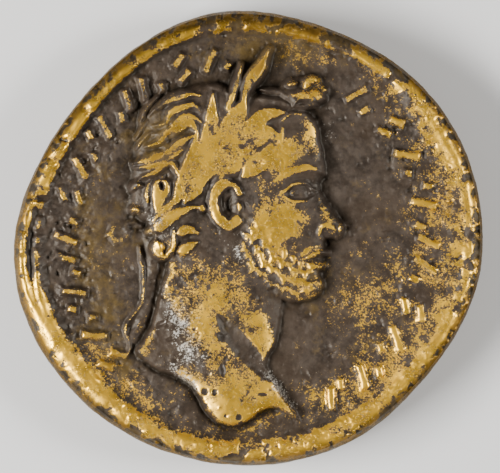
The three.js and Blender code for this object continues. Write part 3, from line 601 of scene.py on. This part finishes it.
# %% [markdown]
# ## Wear
# Handling rubs a coin down to a nearly flat plane. What stood highest is now flat and bright, and the
# dark skin stays in every hollow. So wear is worked out from the heights: cut at the plane, note how
# near each place comes to it and how proud it stands of what is round it, and add how the hand rubs.
# Before that every wall is given a lean, because a die with upright walls would not let the metal go.
# Seeded noise makes all of it uneven, as on a coin that was carried and then lay in the ground.

# %% Clouds
def bilinear(values, i, j, k, m, s, t):
    """The four values of columns i, k and rows j, m round a place, weighted by nearness."""
    near = values[j, i] * (1 - s) + values[j, k] * s
    far = values[m, i] * (1 - s) + values[m, k] * s
    return near * (1 - t) + far * t


def sample(raster, x, y):
    """Reads a raster at any places."""
    u, v = (x - AXIS[0]) / STEP, (y - AXIS[0]) / STEP
    i, j = np.clip(u.astype(int), 0, len(AXIS) - 2), np.clip(v.astype(int), 0, len(AXIS) - 2)
    return bilinear(raster, i, j, i + 1, j + 1, u - i, v - j)


LATTICE = 256  # the noise repeats after this many of its cells


def cloud(x, y, size, seed, octaves=3):
    """Value noise from 0 to 1: random numbers on a lattice of that size, blended smoothly between, with
    finer and weaker layers added. Each layer's lattice is turned and moved, so that no direction shows."""
    total, weight = 0, 0
    for layer in range(octaves):
        lattice = np.random.default_rng(seed + layer).random((LATTICE, LATTICE))
        c, s = np.cos(0.6 + 1.1 * layer + seed), np.sin(0.6 + 1.1 * layer + seed)
        u, v = (x * c + y * s) * 2**layer / size + 37.3 * layer, (y * c - x * s) * 2**layer / size
        i, j = np.floor(u).astype(int), np.floor(v).astype(int)
        s, t = ramp(u - i, 0, 1), ramp(v - j, 0, 1)
        i, j, k, m = (n % LATTICE for n in (i, j, i + 1, j + 1))
        total = total + bilinear(lattice, i, j, k, m, s, t) / 2**layer
        weight += 1 / 2**layer
    return total / weight


def uneven(size, seed, octaves=3):
    """The noise over the whole raster, from -0.5 to 0.5."""
    return cloud(X, Y, size, seed, octaves) - 0.5


def patches(size, seed, start, end, octaves=3):
    """Patches of about that size: 1 where the noise is over end, 0 where it is under start."""
    return ramp(cloud(X, Y, size, seed, octaves), start, end)


print("cloud runs from", cloud(X, Y, 2.0, 1).min().round(2), "to", cloud(X, Y, 2.0, 1).max().round(2))


# %% Blur and lean
def soften(height, radius):
    """A blur: the mean over a square window, twice, which is close to a bell-shaped weight."""
    n = max(1, int(round(radius / STEP)))
    for axis in (0, 1, 0, 1):
        padding = [(0, 0), (0, 0)]
        padding[axis] = (n + 1, n)
        total = np.cumsum(np.pad(height, padding, mode="edge"), axis=axis)
        ahead = np.take(total, range(2 * n + 1, total.shape[axis]), axis=axis)
        behind = np.take(total, range(0, total.shape[axis] - 2 * n - 1), axis=axis)
        height = (ahead - behind) / (2 * n + 1)
    return height


STEEPEST = 3.0  # rise over run of the walls
DRAFT_STEPS = 8  # cells of the raster over which the lean can spread


def draft(height, steepest):
    """Leans a slope against every wall, as a die's hollows must have to let the metal go: each height is
    the most of those round about, less the steepest slope times their distance."""
    for _ in range(DRAFT_STEPS):
        for away in ((0, 1), (1, 0), (1, 1), (1, -1), (0, -1), (-1, 0), (-1, -1), (-1, 1)):
            height = np.maximum(height, np.roll(height, away, (0, 1)) - steepest * STEP * np.hypot(*away))
    return height


print("walls rise", STEEPEST, "for 1 across")


# %% The rim's skin
def rim_skin(face, seed):
    """Where the rim is bare by itself, its outermost strip, the dirt on it, and dark specks in the strip.
    A ragged contour of the bare rim's height bounds it."""
    ragged = 0.3 * uneven(0.9, seed + 20) + 0.24 * uneven(0.35, seed + 25)
    rim = np.maximum(ramp(face["bare"] + ragged, 0.1, 0.42), 1 - ramp(face["inset"], 0.7, 1.1))
    outer = 1 - ramp(face["inset"], 0.5, 0.95)
    dirt = patches(0.9, seed + 40, 0.54, 0.66) + 0.7 * patches(0.4, seed + 45, 0.6, 0.7)
    dirt = rim * np.clip(dirt * (1 + 0.3 * outer), 0, 1.2) * face["rim_dirt"]
    return rim, outer, dirt, outer * patches(0.42, seed + 48, 0.58, 0.66)


def outer_shade(face):
    """Painted shade: a dark line along the outline, where the edge turns away from the lights. It is
    broadest at the top.
    """
    away = np.maximum(0.7 * bell(ANGLE, 228, 35), 0.5 * bell(ANGLE, 310, 35))
    away = np.maximum(np.minimum(1.3 * bell(ANGLE, 110, 80), 1), away)
    reach = 0.8 + 0.6 * away + 0.5 * bell(ANGLE, 92, 50)
    return (0.75 + 0.25 * away) * (1 - ramp(face["inset"], 0.3, reach))


obverse["inset"], reverse["inset"] = flan_radius(ANGLE) - RADIUS, flan_radius(180 - ANGLE) - RADIUS
obverse["rim_dirt"] = 0.25 - 0.15 * bell(ANGLE, 150, 30) + 0.5 * bell(ANGLE, 5, 60)
obverse["rim_dirt"] += 0.7 * np.maximum(bell(ANGLE, 268, 75), bell(ANGLE, 78, 70))
reverse["rim_dirt"] = 0.6
print("the rim's dirt runs up to", obverse["rim_dirt"].max().round(2))

# %% The rule of wear
STRAY = 0.16  # how far outlines wander from the die's clean ones
BLEND = 0.05  # how softly the form turns into the worn plane
FOLDS = 0.06  # the reverse's folds may stand this much higher than the plain solid


def add_mounds(values, mounds):
    """Adds amount times a mound for each centre, size, turn and amount."""
    for at, size, turn, amount in mounds:
        values = values + amount * mound(X, Y, at, size, turn)
    return values


def rub(face, top, seed, biases, stains):
    """The worn height is the soft least of the height and a slightly uneven plane. Bare metal shows by
    nearness to the plane, by standing proud of the blurred surface, and by the biases. Where no metal
    shows, the surface has the grain and the pits of old skin."""
    plane = top - 0.05 + 0.08 * uneven(5, seed)
    shift = [STRAY * uneven(0.5, seed + 10 * k) for k in (1, 2)]
    h = sample(draft(face["height"], STEEPEST), X + shift[0], Y + shift[1])
    worn = soften(plane - BLEND * np.logaddexp(0, (plane - h) / BLEND), STEP)
    proud = ramp(worn - soften(worn, 0.8), 0.02, 0.16)
    crests = ramp(worn - soften(worn, 0.25), 0.004, 0.04)
    rubbed = 0.62 * ramp(h, 0.78 * top, 0.97 * top) + 0.36 * proud + 0.26 * crests
    rim, outer, dirt, specks = rim_skin(face, seed)
    border = rim * (1 - ramp(face["inset"], 1.8, 2.5))
    walls = ramp(np.hypot(*np.gradient(worn, STEP)), 0.3, 0.7)
    rubbed = np.maximum(rubbed, 0.88 * rim) * (1 - 0.7 * walls * (1 - border))
    rubbed = add_mounds(rubbed - 0.8 * dirt - 0.15 * outer - 0.8 * specks, biases)
    worn = worn - 0.09 * dirt - 0.05 * specks
    holes = np.zeros(X.shape)
    for at, size, turn in face["holes"]:
        hole = ramp(mound(X, Y, at, size, turn), 0.2, 0.75)
        worn, rubbed = worn - 0.09 * hole, rubbed - 1.2 * ramp(hole, 0.1, 0.6)
        holes = np.maximum(holes, hole)
    rubbed -= 0.5 * patches(0.6, seed + 50, 0.68, 0.8)
    rubbed -= 0.45 * uneven(1.1, seed + 55) + 0.3 * uneven(0.45, seed + 58)
    grain = 0.16 * uneven(0.8, seed + 60) + 0.09 * uneven(0.3, seed + 70, 2)
    pits = 0.1 * patches(0.62, seed + 80, 0.72, 0.88, 2)
    worn = worn + (grain - pits) * face["roughness"] * (1 - 0.85 * ramp(rubbed, 0.3, 0.7))
    face["worn"], face["rubbed"] = worn, rubbed
    # Painted shade: the colour darkens in small hollows of the relief. Pits are darkened too, and the rim's
    # dark specks are real dirt.
    cavity_shade = ramp(soften(worn, 0.3) - worn, 0.03, 0.2)
    face["dirt_and_cavity_shade"] = np.maximum(cavity_shade, np.maximum(0.7 * holes, specks))
    # Painted shade: darker in broad hollows round the relief and along the outline.
    face["shade"] = np.maximum(0.65 * ramp(soften(worn, 1.0) - worn, 0.02, 0.36), outer_shade(face))
    # Real ochre stains from noise and mounds, and painted shade: an amber darkening of the outermost strip,
    # where the edge turns away.
    stain_and_edge_shade = np.maximum(1.2 * uneven(1.3, seed + 90, 4), 1.1 * (1 - ramp(face["inset"], 0.3, 1.0)))
    face["stain_and_edge_shade"] = add_mounds(stain_and_edge_shade, stains)
    # Painted glints: where a silvery highlight is painted, by noise and by the mounds of glints.
    face["painted_glint_amount"] = add_mounds(0.9 * uneven(0.5, seed + 100), face["silver"])


print("wear blends over", BLEND, "mm")

# %% [markdown]
# ## Where this coin is worn
# The rule finds most of the bare metal by itself. The rest is told to it as soft mounds: where fingers
# rubbed more, where the skin held, where it turned ochre, where a silvery glint is painted, and
# where corrosion has eaten small holes out of the bust.

# %% Roughness, holes and painted glints
belt = ramp(RADIUS, 10.2, 11.6) * (1 - ramp(RADIUS, 14.4, 15.4))
obverse["roughness"] = 0.85 + mound(X, Y, (-4.3, -5.6), (1.5, 4.2), 14)
obverse["roughness"] += belt * (1.2 * bell(ANGLE, 175, 75) + 0.5 * bell(ANGLE, 20, 60))
reverse["roughness"] = 0.5
obverse["holes"], reverse["holes"] = [  # centre, size, turn
    ((-2.95, -10.7), (0.26, 0.28), 0), ((-2.25, -10.75), (0.2, 0.22), 0), ((-1.7, -9.2), (0.2, 0.42), 12),
    ((-0.57, -12.5), (0.24, 0.24), 0), ((-1.8, -6.9), (0.24, 0.4), 30), ((1.1, -10.9), (0.34, 0.14), 0),
    ((-1.5, -12.4), (0.12, 0.14), 0),
], []
# Painted glints: mounds where a silvery highlight is painted on the neck, nape, brow and bust.
obverse["silver"], reverse["silver"] = [  # centre, size, turn, amount
    ((-4.4, -6.5), (1.4, 4), 18, 0.88), ((-0.6, -0.9), (0.5, 1.3), 10, 0.85),
    ((-6.3, 1.1), (1.6, 1.8), 30, 0.58), ((5.6, 7.5), (0.6, 0.8), 0, 0.6),
    ((2.2, -10.5), (0.5, 2.2), 34, 1.2), ((-4.4, -9.7), (1.7, 0.45), -35, 0.85),
], []
print(len(obverse["holes"]), "holes and", len(obverse["silver"]), "glints")

# %% Rub the faces down
BIASES = [  # centre, size, turn, amount, where metal shows more than its height would say, or less
    ((-0.9, -11.1), (3, 2), -20, 0.6), ((-2.3, -7.6), (3.2, 1.1), -50, 0.42),  # the end of the bust
    ((-2.3, -3.6), (3.2, 1.7), -35, 0.42), ((1, -6.2), (2.3, 1.3), -55, 0.46),  # front of the neck
    ((-4.2, -5.6), (1.6, 3.4), 14, 0.3),  # and its left side
    ((-0.9, -6.9), (2.8, 0.6), -49, -0.5), ((-6.1, -4.4), (0.6, 3.4), 8, -0.6),  # its groove, and its back
    ((-6.3, -8.9), (1.6, 0.7), -35, -0.4), ((-6.1, -0.8), (0.8, 0.9), 0, 0.45),  # nape, and its curl
    ((1.9, -1.2), (2.6, 2.6), 0, 0.36), ((2.9, 1.4), (1.8, 1.6), 0, 0.22),  # jaw and cheek
    ((3.4, 6.1), (2, 0.8), 28, 0.5), ((5.4, 7.2), (0.5, 1.7), 0, -0.5),  # forehead, and its front
    ((2.3, -6.4), (0.6, 2.4), 0, -0.6), ((4.4, 10.4), (1.1, 0.8), 0, 0.4),  # throat, and leaf over the brow
    ((1.7, 9.8), (2.2, 0.8), -8, -0.6), ((-1.8, 10.6), (1.6, 0.5), 0, -0.6),  # hair over the forehead
    ((-6.6, 8.2), (1.2, 2.2), 20, -0.3), ((-5.8, 6), (2, 3), 20, -0.14),  # back of the crown
    ((-9, 0.4), (1.3, 1.1), 0, -0.26), ((4.6, 4), (1.3, 1.4), 0, -0.4),  # ring of the tie, and the eye
    ((10.5, -4), (3.2, 6.5), -12, 0.3), ((6.5, -11), (4.5, 2.6), 20, 0.34),  # lower right field
    ((13.6, 0.5), (1.5, 7.5), 4, 0.3), ((-4, -13.8), (5, 1.2), -14, 0.3),  # foot of the rim
    ((-9.6, -9.9), (4, 1.3), -46, 0.34), ((10.2, -9.2), (4, 1.2), 42, 0.16),
    ((9.8, 9.9), (3, 1.2), -45, 0.16),
    ((7, -4.5), (2.5, 3), 0, 0.2), ((-10.4, -1.5), (2.2, 6), 0, 0.2),  # the rest of the field
    ((3, 13), (4.5, 1.4), -14, 0.3), ((-8, -10.5), (4.5, 1.8), -42, 0.16),
    ((11.5, 6.5), (2, 4), 25, 0.24),
]
STAINS = [  # the same, where the skin is ochre or, under 0, plain
    ((-0.9, -11.1), (3.2, 2.2), -20, -0.5), ((-6, 6.8), (2.2, 3.2), 20, 0.6),
    ((-10.4, -1), (2.6, 7), 0, 0.45), ((9, -8), (5, 5), -30, 0.2),
    # The mound at (1, 15.4) is painted shade: it makes the top rim amber-dark, as that side turns away from
    # the lights.
    ((2, 13), (5, 1.5), 0, 0.6), ((1, 15.4), (8, 1.2), -6, 0.7),
    ((-8, -9), (4, 3), 40, 0.25), ((4, -2.5), (2.5, 2), -30, 0.5),
]
rub(obverse, WORN_TOP, 5, BIASES, STAINS)
rub(reverse, REVERSE_WORN_TOP + FOLDS, 9, [((0, 0), (6, 9), 0, 0.15)], [((0, 0), (12, 12), 0, 0.2)])
bare_share = float((obverse["rubbed"] > 0.5)[RADIUS < 16].mean())
print("bare metal on", round(bare_share * 100), "% of the obverse")

# %% [markdown]
# ## From heights to one closed mesh
# A square grid is bent onto the disc, so there is no pole where triangles crowd. The same grid serves
# both faces, and rows of quads join the two round the edge. That is a closed shell of about 660,000
# triangles, evenly spread. A Decimate modifier then takes faces away where the metal is plain and keeps
# them where it is carved.

# %% Grid over the faces
CELLS = 480
OBVERSE_LIP, REVERSE_LIP = 0.3, 0.4  # the faces' grids end this far inside the outline
# The edge's section: distances inside the outline, and levels over the table.
EDGE = [(OBVERSE_LIP, RIM_TOP - 0.54), (0.08, RIM_TOP - 1.2), (0, 1.9), (0.1, 0.85), (REVERSE_LIP, 0.24)]
EDGE_ROWS = 22


def disc_grid(cells, lip):
    """x = u sqrt(1 - v²/2) and y = v sqrt(1 - u²/2) bend a square onto a disc, which is then stretched to
    the outline less the lip. Gives x, y, the triangles and the border's numbers, anticlockwise."""
    u, v = np.meshgrid(*[np.linspace(-1, 1, cells + 1)] * 2)
    x, y = u * np.sqrt(1 - v * v / 2), v * np.sqrt(1 - u * u / 2)
    angle = bearing(x, y)
    reach = flan_radius(angle) - lip * rim_share(angle)
    n = np.arange((cells + 1) ** 2).reshape(cells + 1, cells + 1)
    a, b, c, d = (corner.ravel() for corner in (n[:-1, :-1], n[:-1, 1:], n[1:, 1:], n[1:, :-1]))
    triangles = np.concatenate([columns(a, b, c), columns(a, c, d)])
    border = np.concatenate([n[0, :-1], n[:-1, -1], n[-1, :0:-1], n[:0:-1, 0]])
    return (x * reach).ravel(), (y * reach).ravel(), triangles, border


top_x, top_y, top_triangles, top_border = disc_grid(CELLS, OBVERSE_LIP)
top_z = FIELD_TOP + sample(obverse["worn"], top_x, top_y)
under_x, under_y, under_triangles, under_border = disc_grid(CELLS // 2, REVERSE_LIP)
under_z = REVERSE_FIELD - sample(reverse["worn"], -under_x, under_y)
under_z = np.maximum(under_z, 0)
print("grids of", len(top_triangles), "and", len(under_triangles), "triangles")

# %% The edge
border_angle = bearing(top_x[top_border], top_y[top_border])


def edge_rows():
    """Each row is a place down the edge's section: a curve from the obverse's lip over the widest line
    to the reverse's. Hammer dents push it in and out, and fade towards both lips."""
    section = flow(EDGE, EDGE_ROWS + 2)
    drift_top = top_z[top_border] - EDGE[0][1]
    drift_under = np.repeat(under_z[under_border], 2) - EDGE[-1][1]
    c, s = compass(border_angle)
    along = np.radians(border_angle) * FLAN_SHORT / 2  # millimetres round the edge
    rows = []
    for k in range(1, EDGE_ROWS + 1):
        share = k / (EDGE_ROWS + 1)
        inset, level = section[k]
        down = np.full_like(along, level)
        dent = 0.12 * (cloud(along, down, 2.4, 21) - 0.5) + 0.08 * (cloud(along, down, 0.6, 31) - 0.5)
        reach = flan_radius(border_angle) - inset * rim_share(border_angle)
        reach += dent * np.sin(np.pi * share) ** 0.5 - 0.03
        height = level + (1 - share) ** 4 * drift_top + share**4 * drift_under
        rows.append(columns(reach * c, reach * s, height))
    return np.concatenate(rows)


def strip(upper, lower):
    """Two triangles for each step between two rings of the same length, facing outwards."""
    after_upper, after_lower = np.roll(upper, -1), np.roll(lower, -1)
    return np.concatenate([columns(upper, lower, after_lower), columns(upper, after_lower, after_upper)])


over, under = columns(top_x, top_y, top_z), columns(under_x, under_y, under_z)
vertices = np.concatenate([over, under, edge_rows()])
first, count = len(over) + len(under), len(top_border)
rings = [top_border] + [first + k * count + np.arange(count) for k in range(EDGE_ROWS)]
coarse = under_border + len(over)
after = np.roll(coarse, -1)
left, middle, right = rings[-1][::2], rings[-1][1::2], np.roll(rings[-1][::2], -1)
triangles = np.concatenate([
    top_triangles, under_triangles[:, ::-1] + len(over),
    *[strip(a, b) for a, b in zip(rings[:-1], rings[1:])],
    columns(left, coarse, middle), columns(middle, coarse, after), columns(middle, after, right),
])
print("closed shell of", len(triangles), "triangles")

# %% Make the mesh and thin it
MOST_TRIANGLES = 196000


def new_mesh(name, points, faces):
    """A mesh from arrays of points in metres and of faces with the same number of corners."""
    mesh = bpy.data.meshes.new(name)
    corners = faces.shape[1]
    mesh.vertices.add(len(points))
    mesh.vertices.foreach_set("co", points.astype(np.float32).ravel())
    mesh.loops.add(faces.size)
    mesh.loops.foreach_set("vertex_index", faces.astype(np.int32).ravel())
    mesh.polygons.add(len(faces))
    mesh.polygons.foreach_set("loop_start", np.arange(len(faces), dtype=np.int32) * corners)
    mesh.update(calc_edges=True)
    return mesh


def add_object(name, data):
    """An object in the scene for a mesh, a lamp or a camera."""
    made = bpy.data.objects.new(name, data)
    bpy.context.collection.objects.link(made)
    return made


ORIGIN, SCALE = [MIDDLE[0], MIDDLE[1], 0], [FIT * MM, FIT * MM, MM]
rough = add_object("rough", new_mesh("rough", (vertices - ORIGIN) * SCALE, triangles))
thin = rough.modifiers.new("thin", "DECIMATE")
thin.ratio = MOST_TRIANGLES / len(triangles)
thin.use_collapse_triangulate = True
fine = bpy.data.meshes.new_from_object(rough.evaluated_get(bpy.context.evaluated_depsgraph_get()))
bpy.data.objects.remove(rough)
fine.name = "struck_coin"
fine.shade_smooth()
coin = add_object("struck_coin", fine)
print("thinned to", len(fine.polygons), "faces")

# %% [markdown]
# ## Wear, painted shade, glints and fine slopes on the mesh
# The shader needs the wear, the painted shade and the painted glints at every place, so each vertex
# carries them as attributes. The thinned mesh also gets its normals from the full relief, so that small
# strokes stay crisp.

# %% Wear, painted shade and glints on the vertices
spots = np.empty(len(fine.vertices) * 3, np.float32)
fine.vertices.foreach_get("co", spots)
east, north, level = (spots.reshape(-1, 3) / SCALE + ORIGIN).T
spot_inset = flan_radius(bearing(east, north)) - np.hypot(east, north)
upper = ramp(level, 1.6, 2.6)


def wear(name, edge_value):
    """A raster's value on the vertices: the obverse's above, the reverse's below, and the edge's own
    value between the lips."""
    above, below = sample(obverse[name], east, north), sample(reverse[name], -east, north)
    value = above * upper + below * (1 - upper)
    rim = ramp(spot_inset, 0.15, 0.45)
    value = value * rim + edge_value * (1 - rim)
    layer = fine.attributes.new(name, "FLOAT", "POINT")
    layer.data.foreach_set("value", np.clip(value, 0, 1).astype(np.float32))


half_down = np.sin(np.pi * np.clip(level / RIM_TOP, 0, 1))
# The edge wall: partly bare, tarnished amber that is partly painted shade, strong painted shade, and no
# painted glints.
EDGE_WEAR_AND_SHADE = {"rubbed": 0.6 - 0.16 * half_down, "dirt_and_cavity_shade": 0.0, "stain_and_edge_shade": 1.1, "painted_glint_amount": 0.0, "shade": 0.85}
for name, edge_value in EDGE_WEAR_AND_SHADE.items():
    wear(name, edge_value)
print("wear is on", len(level), "vertices")

# %% Normals of the full relief
def relief_normals(raster, x, y):
    """The thinned mesh keeps the slopes of the fine relief: normal = (-dz/dx, -dz/dy, 1), made 1 long."""
    slope_y, slope_x = np.gradient(raster, STEP)
    normal = columns(-sample(slope_x, x, y), -sample(slope_y, x, y), np.ones_like(x))
    return normal / np.linalg.norm(normal, axis=1, keepdims=True)


above = relief_normals(obverse["worn"], east, north)
below = relief_normals(reverse["worn"], -east, north) * [-1, 1, -1]
own = np.empty(len(level) * 3, np.float32)
fine.vertices.foreach_get("normal", own)
own = own.reshape(-1, 3)
share = ramp(spot_inset, OBVERSE_LIP + 0.1, OBVERSE_LIP + 0.5)[:, None]
mixed = own * (1 - share) + np.where(upper[:, None] > 0.5, above, below) * share
fine.normals_split_custom_set_from_vertices(mixed / np.linalg.norm(mixed, axis=1, keepdims=True))
turned = np.degrees(np.arccos(np.clip((own * mixed).sum(1), -1, 1)))
print("normals set, mean turn", round(float(turned.mean()), 1))

# %% [markdown]
# ## The metal and its skin
# The coin is yellow brass under a dark brown-grey skin. Where wear has gone through, the metal shows
# with a crisp, ragged border. The wear attribute says where that is likely, and noise on Object
# coordinates decides it grain by grain.

# %% A material, and a small kit for its nodes
brass = bpy.data.materials.new("worn_brass")
brass.use_nodes = True
tree = brass.node_tree


def node(kind, **settings):
    """Adds a node. Names of inputs set their values, and other names set its properties."""
    made = tree.nodes.new(kind)
    for name, value in settings.items():
        socket = made.inputs.get(name.replace("_", " "))
        if socket is not None:
            socket.default_value = value
        else:
            setattr(made, name, value)
    return made


def plug(source, target):
    tree.links.new(source, target)


def noise(place, scale, detail=3.0, roughness=0.6):
    """Noise of that many waves to the metre, read at a place."""
    made = node("ShaderNodeTexNoise", Scale=scale, Detail=detail, Roughness=roughness)
    plug(place, made.inputs["Vector"])
    return made.outputs["Fac"]


def spread(value, low, high, to_low=0.0, to_high=1.0):
    """Moves a range of values to another one, and holds it there."""
    made = node("ShaderNodeMapRange", interpolation_type="SMOOTHSTEP")
    plug(value, made.inputs["Value"])
    for name, level in zip(("From Min", "From Max", "To Min", "To Max"), (low, high, to_low, to_high)):
        made.inputs[name].default_value = level
    return made.outputs["Result"]


def math(operation, a, b):
    """One sum, of two sockets or numbers."""
    made = node("ShaderNodeMath", operation=operation)
    for socket, value in zip(made.inputs, (a, b)):
        if isinstance(value, (int, float)):
            socket.default_value = value
        else:
            plug(value, socket)
    return made.outputs[0]


def blend(share, first, second):
    """A mix of two colours, given as tuples or sockets."""
    made = node("ShaderNodeMix", data_type="RGBA")
    plug(share, made.inputs["Factor"])
    for socket, value in zip((made.inputs[6], made.inputs[7]), (first, second)):
        if isinstance(value, tuple):
            socket.default_value = (*value, 1)
        else:
            plug(value, socket)
    return made.outputs[2]


def sway(value, texture, strength):
    """Moves a value up and down with a texture that is about a half on the average."""
    return math("ADD", value, math("MULTIPLY", math("SUBTRACT", texture, 0.5), strength))


print("nodes for", brass.name)

# %% The worn brass
BRASS = (0.98, 0.565, 0.05)
TARNISH = (0.48, 0.26, 0.038)
SKIN = (0.022, 0.016, 0.012)
SKIN_LIGHT = (0.052, 0.038, 0.028)
SKIN_BROWN = (0.048, 0.031, 0.019)
SKIN_WARM = (0.09, 0.057, 0.017)
# A pale colour for painted glints.
PAINTED_GLINT_COLOUR = (0.84, 0.78, 0.67)
AMBER = (0.28, 0.17, 0.045)
SHADOW = (0.02, 0.012, 0.005)
# The darkest brown: dark specks of dirt, painted shade in small hollows, and darker pits.
DIRT_AND_CAVITY_SHADE = (0.012, 0.009, 0.006)


def worn_brass():
    """Brass where the wear is high, skin elsewhere, and an amber line where the skin thins out. Painted
    glints, painted shade and dark specks go over them.
    """
    shader = tree.nodes["Principled BSDF"]
    place = node("ShaderNodeTexCoord").outputs["Object"]
    rubbed, dirt_and_cavity_shade, shade, stain_and_edge_shade, painted_glint_amount = (
        node("ShaderNodeAttribute", attribute_name=name).outputs["Fac"]
        for name in ("rubbed", "dirt_and_cavity_shade", "shade", "stain_and_edge_shade", "painted_glint_amount"))
    dust, grains, blots, broad = (
        noise(place, scale, 4, 0.65) for scale in (7500, 3200, 900, 250))
    chance = rubbed
    for texture, strength in ((dust, 1.5), (grains, 0.75), (blots, 0.5)):
        chance = sway(chance, texture, strength)
    bare = spread(chance, 0.47, 0.55)
    pores = spread(noise(place, 6100, 2, 0.5), 0.385, 0.445)
    bare = math("MULTIPLY", bare, math("MAXIMUM", pores, spread(blots, 0.42, 0.6)))
    thinning = spread(chance, 0.34, 0.52)
    mottle = math("ADD", math("MULTIPLY", grains, 0.35), math("MULTIPLY", blots, 0.65))
    skin = blend(spread(mottle, 0.36, 0.62), SKIN, SKIN_LIGHT)
    skin = blend(spread(broad, 0.4, 0.62, 0.0, 0.5), skin, SKIN_BROWN)
    skin = blend(spread(sway(stain_and_edge_shade, grains, 1.0), 0.2, 0.85), skin, SKIN_WARM)
    # Painted glints: a pale, half-metallic speckle where highlights are painted on slopes.
    silvered = sway(sway(painted_glint_amount, dust, 3.2), grains, 1.2)
    silver = spread(silvered, 0.76, 1.4, 0.0, 0.85)
    skin = blend(math("MULTIPLY", thinning, 0.8), skin, AMBER)
    # Tarnish dulls the brass along with the stains, and the painted amber shade of the outline comes
    # through here too.
    dulled_and_edge_shaded = sway(sway(stain_and_edge_shade, broad, 1.4), blots, 0.9)
    metal = blend(spread(dulled_and_edge_shaded, 0.1, 1.0), BRASS, TARNISH)
    colour = blend(silver, blend(bare, skin, metal), PAINTED_GLINT_COLOUR)
    # Painted shade, in broad hollows and along the outline.
    colour = blend(math("MULTIPLY", shade, 0.8), colour, SHADOW)
    # Painted shade in small hollows, darker pits, and dark specks of dirt.
    colour = blend(math("MULTIPLY", dirt_and_cavity_shade, 0.8), colour, DIRT_AND_CAVITY_SHADE)
    plug(colour, shader.inputs["Base Color"])
    metallic = math("MAXIMUM", bare, math("MULTIPLY", silver, 0.6))
    plug(spread(metallic, 0, 1, 0.0, 0.9), shader.inputs["Metallic"])
    dull = spread(blots, 0.35, 0.65, 0.36, 0.54)
    plug(math("SUBTRACT", dull, math("MULTIPLY", bare, 0.1)), shader.inputs["Roughness"])
    plug(spread(shade, 0.3, 0.9, 0.4, 0.1), shader.inputs["Specular IOR Level"])
    shader.inputs["Specular Tint"].default_value = (0.8, 0.73, 0.62, 1)
    bump = node("ShaderNodeBump", Strength=1.0, Distance=0.00004)
    relief = math("ADD", math("MULTIPLY", dust, 0.5), grains)
    plug(math("MULTIPLY", relief, spread(bare, 0, 1, 1.0, 0.12)), bump.inputs["Height"])
    plug(bump.outputs["Normal"], shader.inputs["Normal"])


worn_brass()
fine.materials.append(brass)
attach(coin, "root")
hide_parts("coin")
print("material:", fine.materials[0].name)

# %% [markdown]
# ## Table, light and camera
# The coin lies on a pale table, and the camera looks straight down on it. Two soft lights, left and
# right, make every slope that faces them bright and leave the others dark, which is what draws relief.

# %% Table
HALF_TABLE = 0.6


def table():
    """A flat square, its middle under the coin."""
    corners = np.array([(-1, -1, 0), (1, -1, 0), (1, 1, 0), (-1, 1, 0)]) * HALF_TABLE
    top = add_object("table", new_mesh("table", corners, np.array([[0, 1, 2, 3]])))
    paint = bpy.data.materials.new("pale_table")
    paint.use_nodes = True
    shader = paint.node_tree.nodes["Principled BSDF"]
    shader.inputs["Base Color"].default_value = (0.72, 0.71, 0.69, 1)
    shader.inputs["Roughness"].default_value = 0.75
    top.data.materials.append(paint)
    return top


print("table", table().dimensions[0], "m wide")


# %% Lights and world
def soft_light(name, place, wide, high, power):
    """An oblong area light that looks at the coin."""
    lamp = bpy.data.lights.new(name, "AREA")
    lamp.shape, lamp.size, lamp.size_y, lamp.energy = "RECTANGLE", wide, high, power
    lit = add_object(name, lamp)
    lit.location = place
    lit.rotation_euler = (-lit.location).to_track_quat("-Z", "Y").to_euler()


soft_light("left_light", (-0.335, -0.07, 0.22), 0.26, 0.09, 4.5)
soft_light("right_light", (0.34, 0.02, 0.20), 0.12, 0.1, 1.6)
world = bpy.data.worlds.new("room")
world.use_nodes = True
world.node_tree.nodes["Background"].inputs["Color"].default_value = (1.0, 0.97, 0.93, 1)
world.node_tree.nodes["Background"].inputs["Strength"].default_value = 0.22
bpy.context.scene.world = world

# %% Camera
SEEN_WIDE = 34.85 * MM  # the width of the picture at the coin's face
AIM_X, AIM_Y = 0.22, 0.1  # it looks this far from the middle
camera = bpy.data.cameras.new("camera")
camera.lens, camera.sensor_width, camera.clip_start = 250, 36, 0.01
viewer = add_object("camera", camera)
height = SEEN_WIDE * camera.lens / camera.sensor_width + FIELD_TOP * MM
viewer.location = ((AIM_X - MIDDLE[0]) * MM, (AIM_Y - MIDDLE[1]) * MM, height)
bpy.context.scene.camera = viewer
print("camera", round(height, 3), "m over the table")
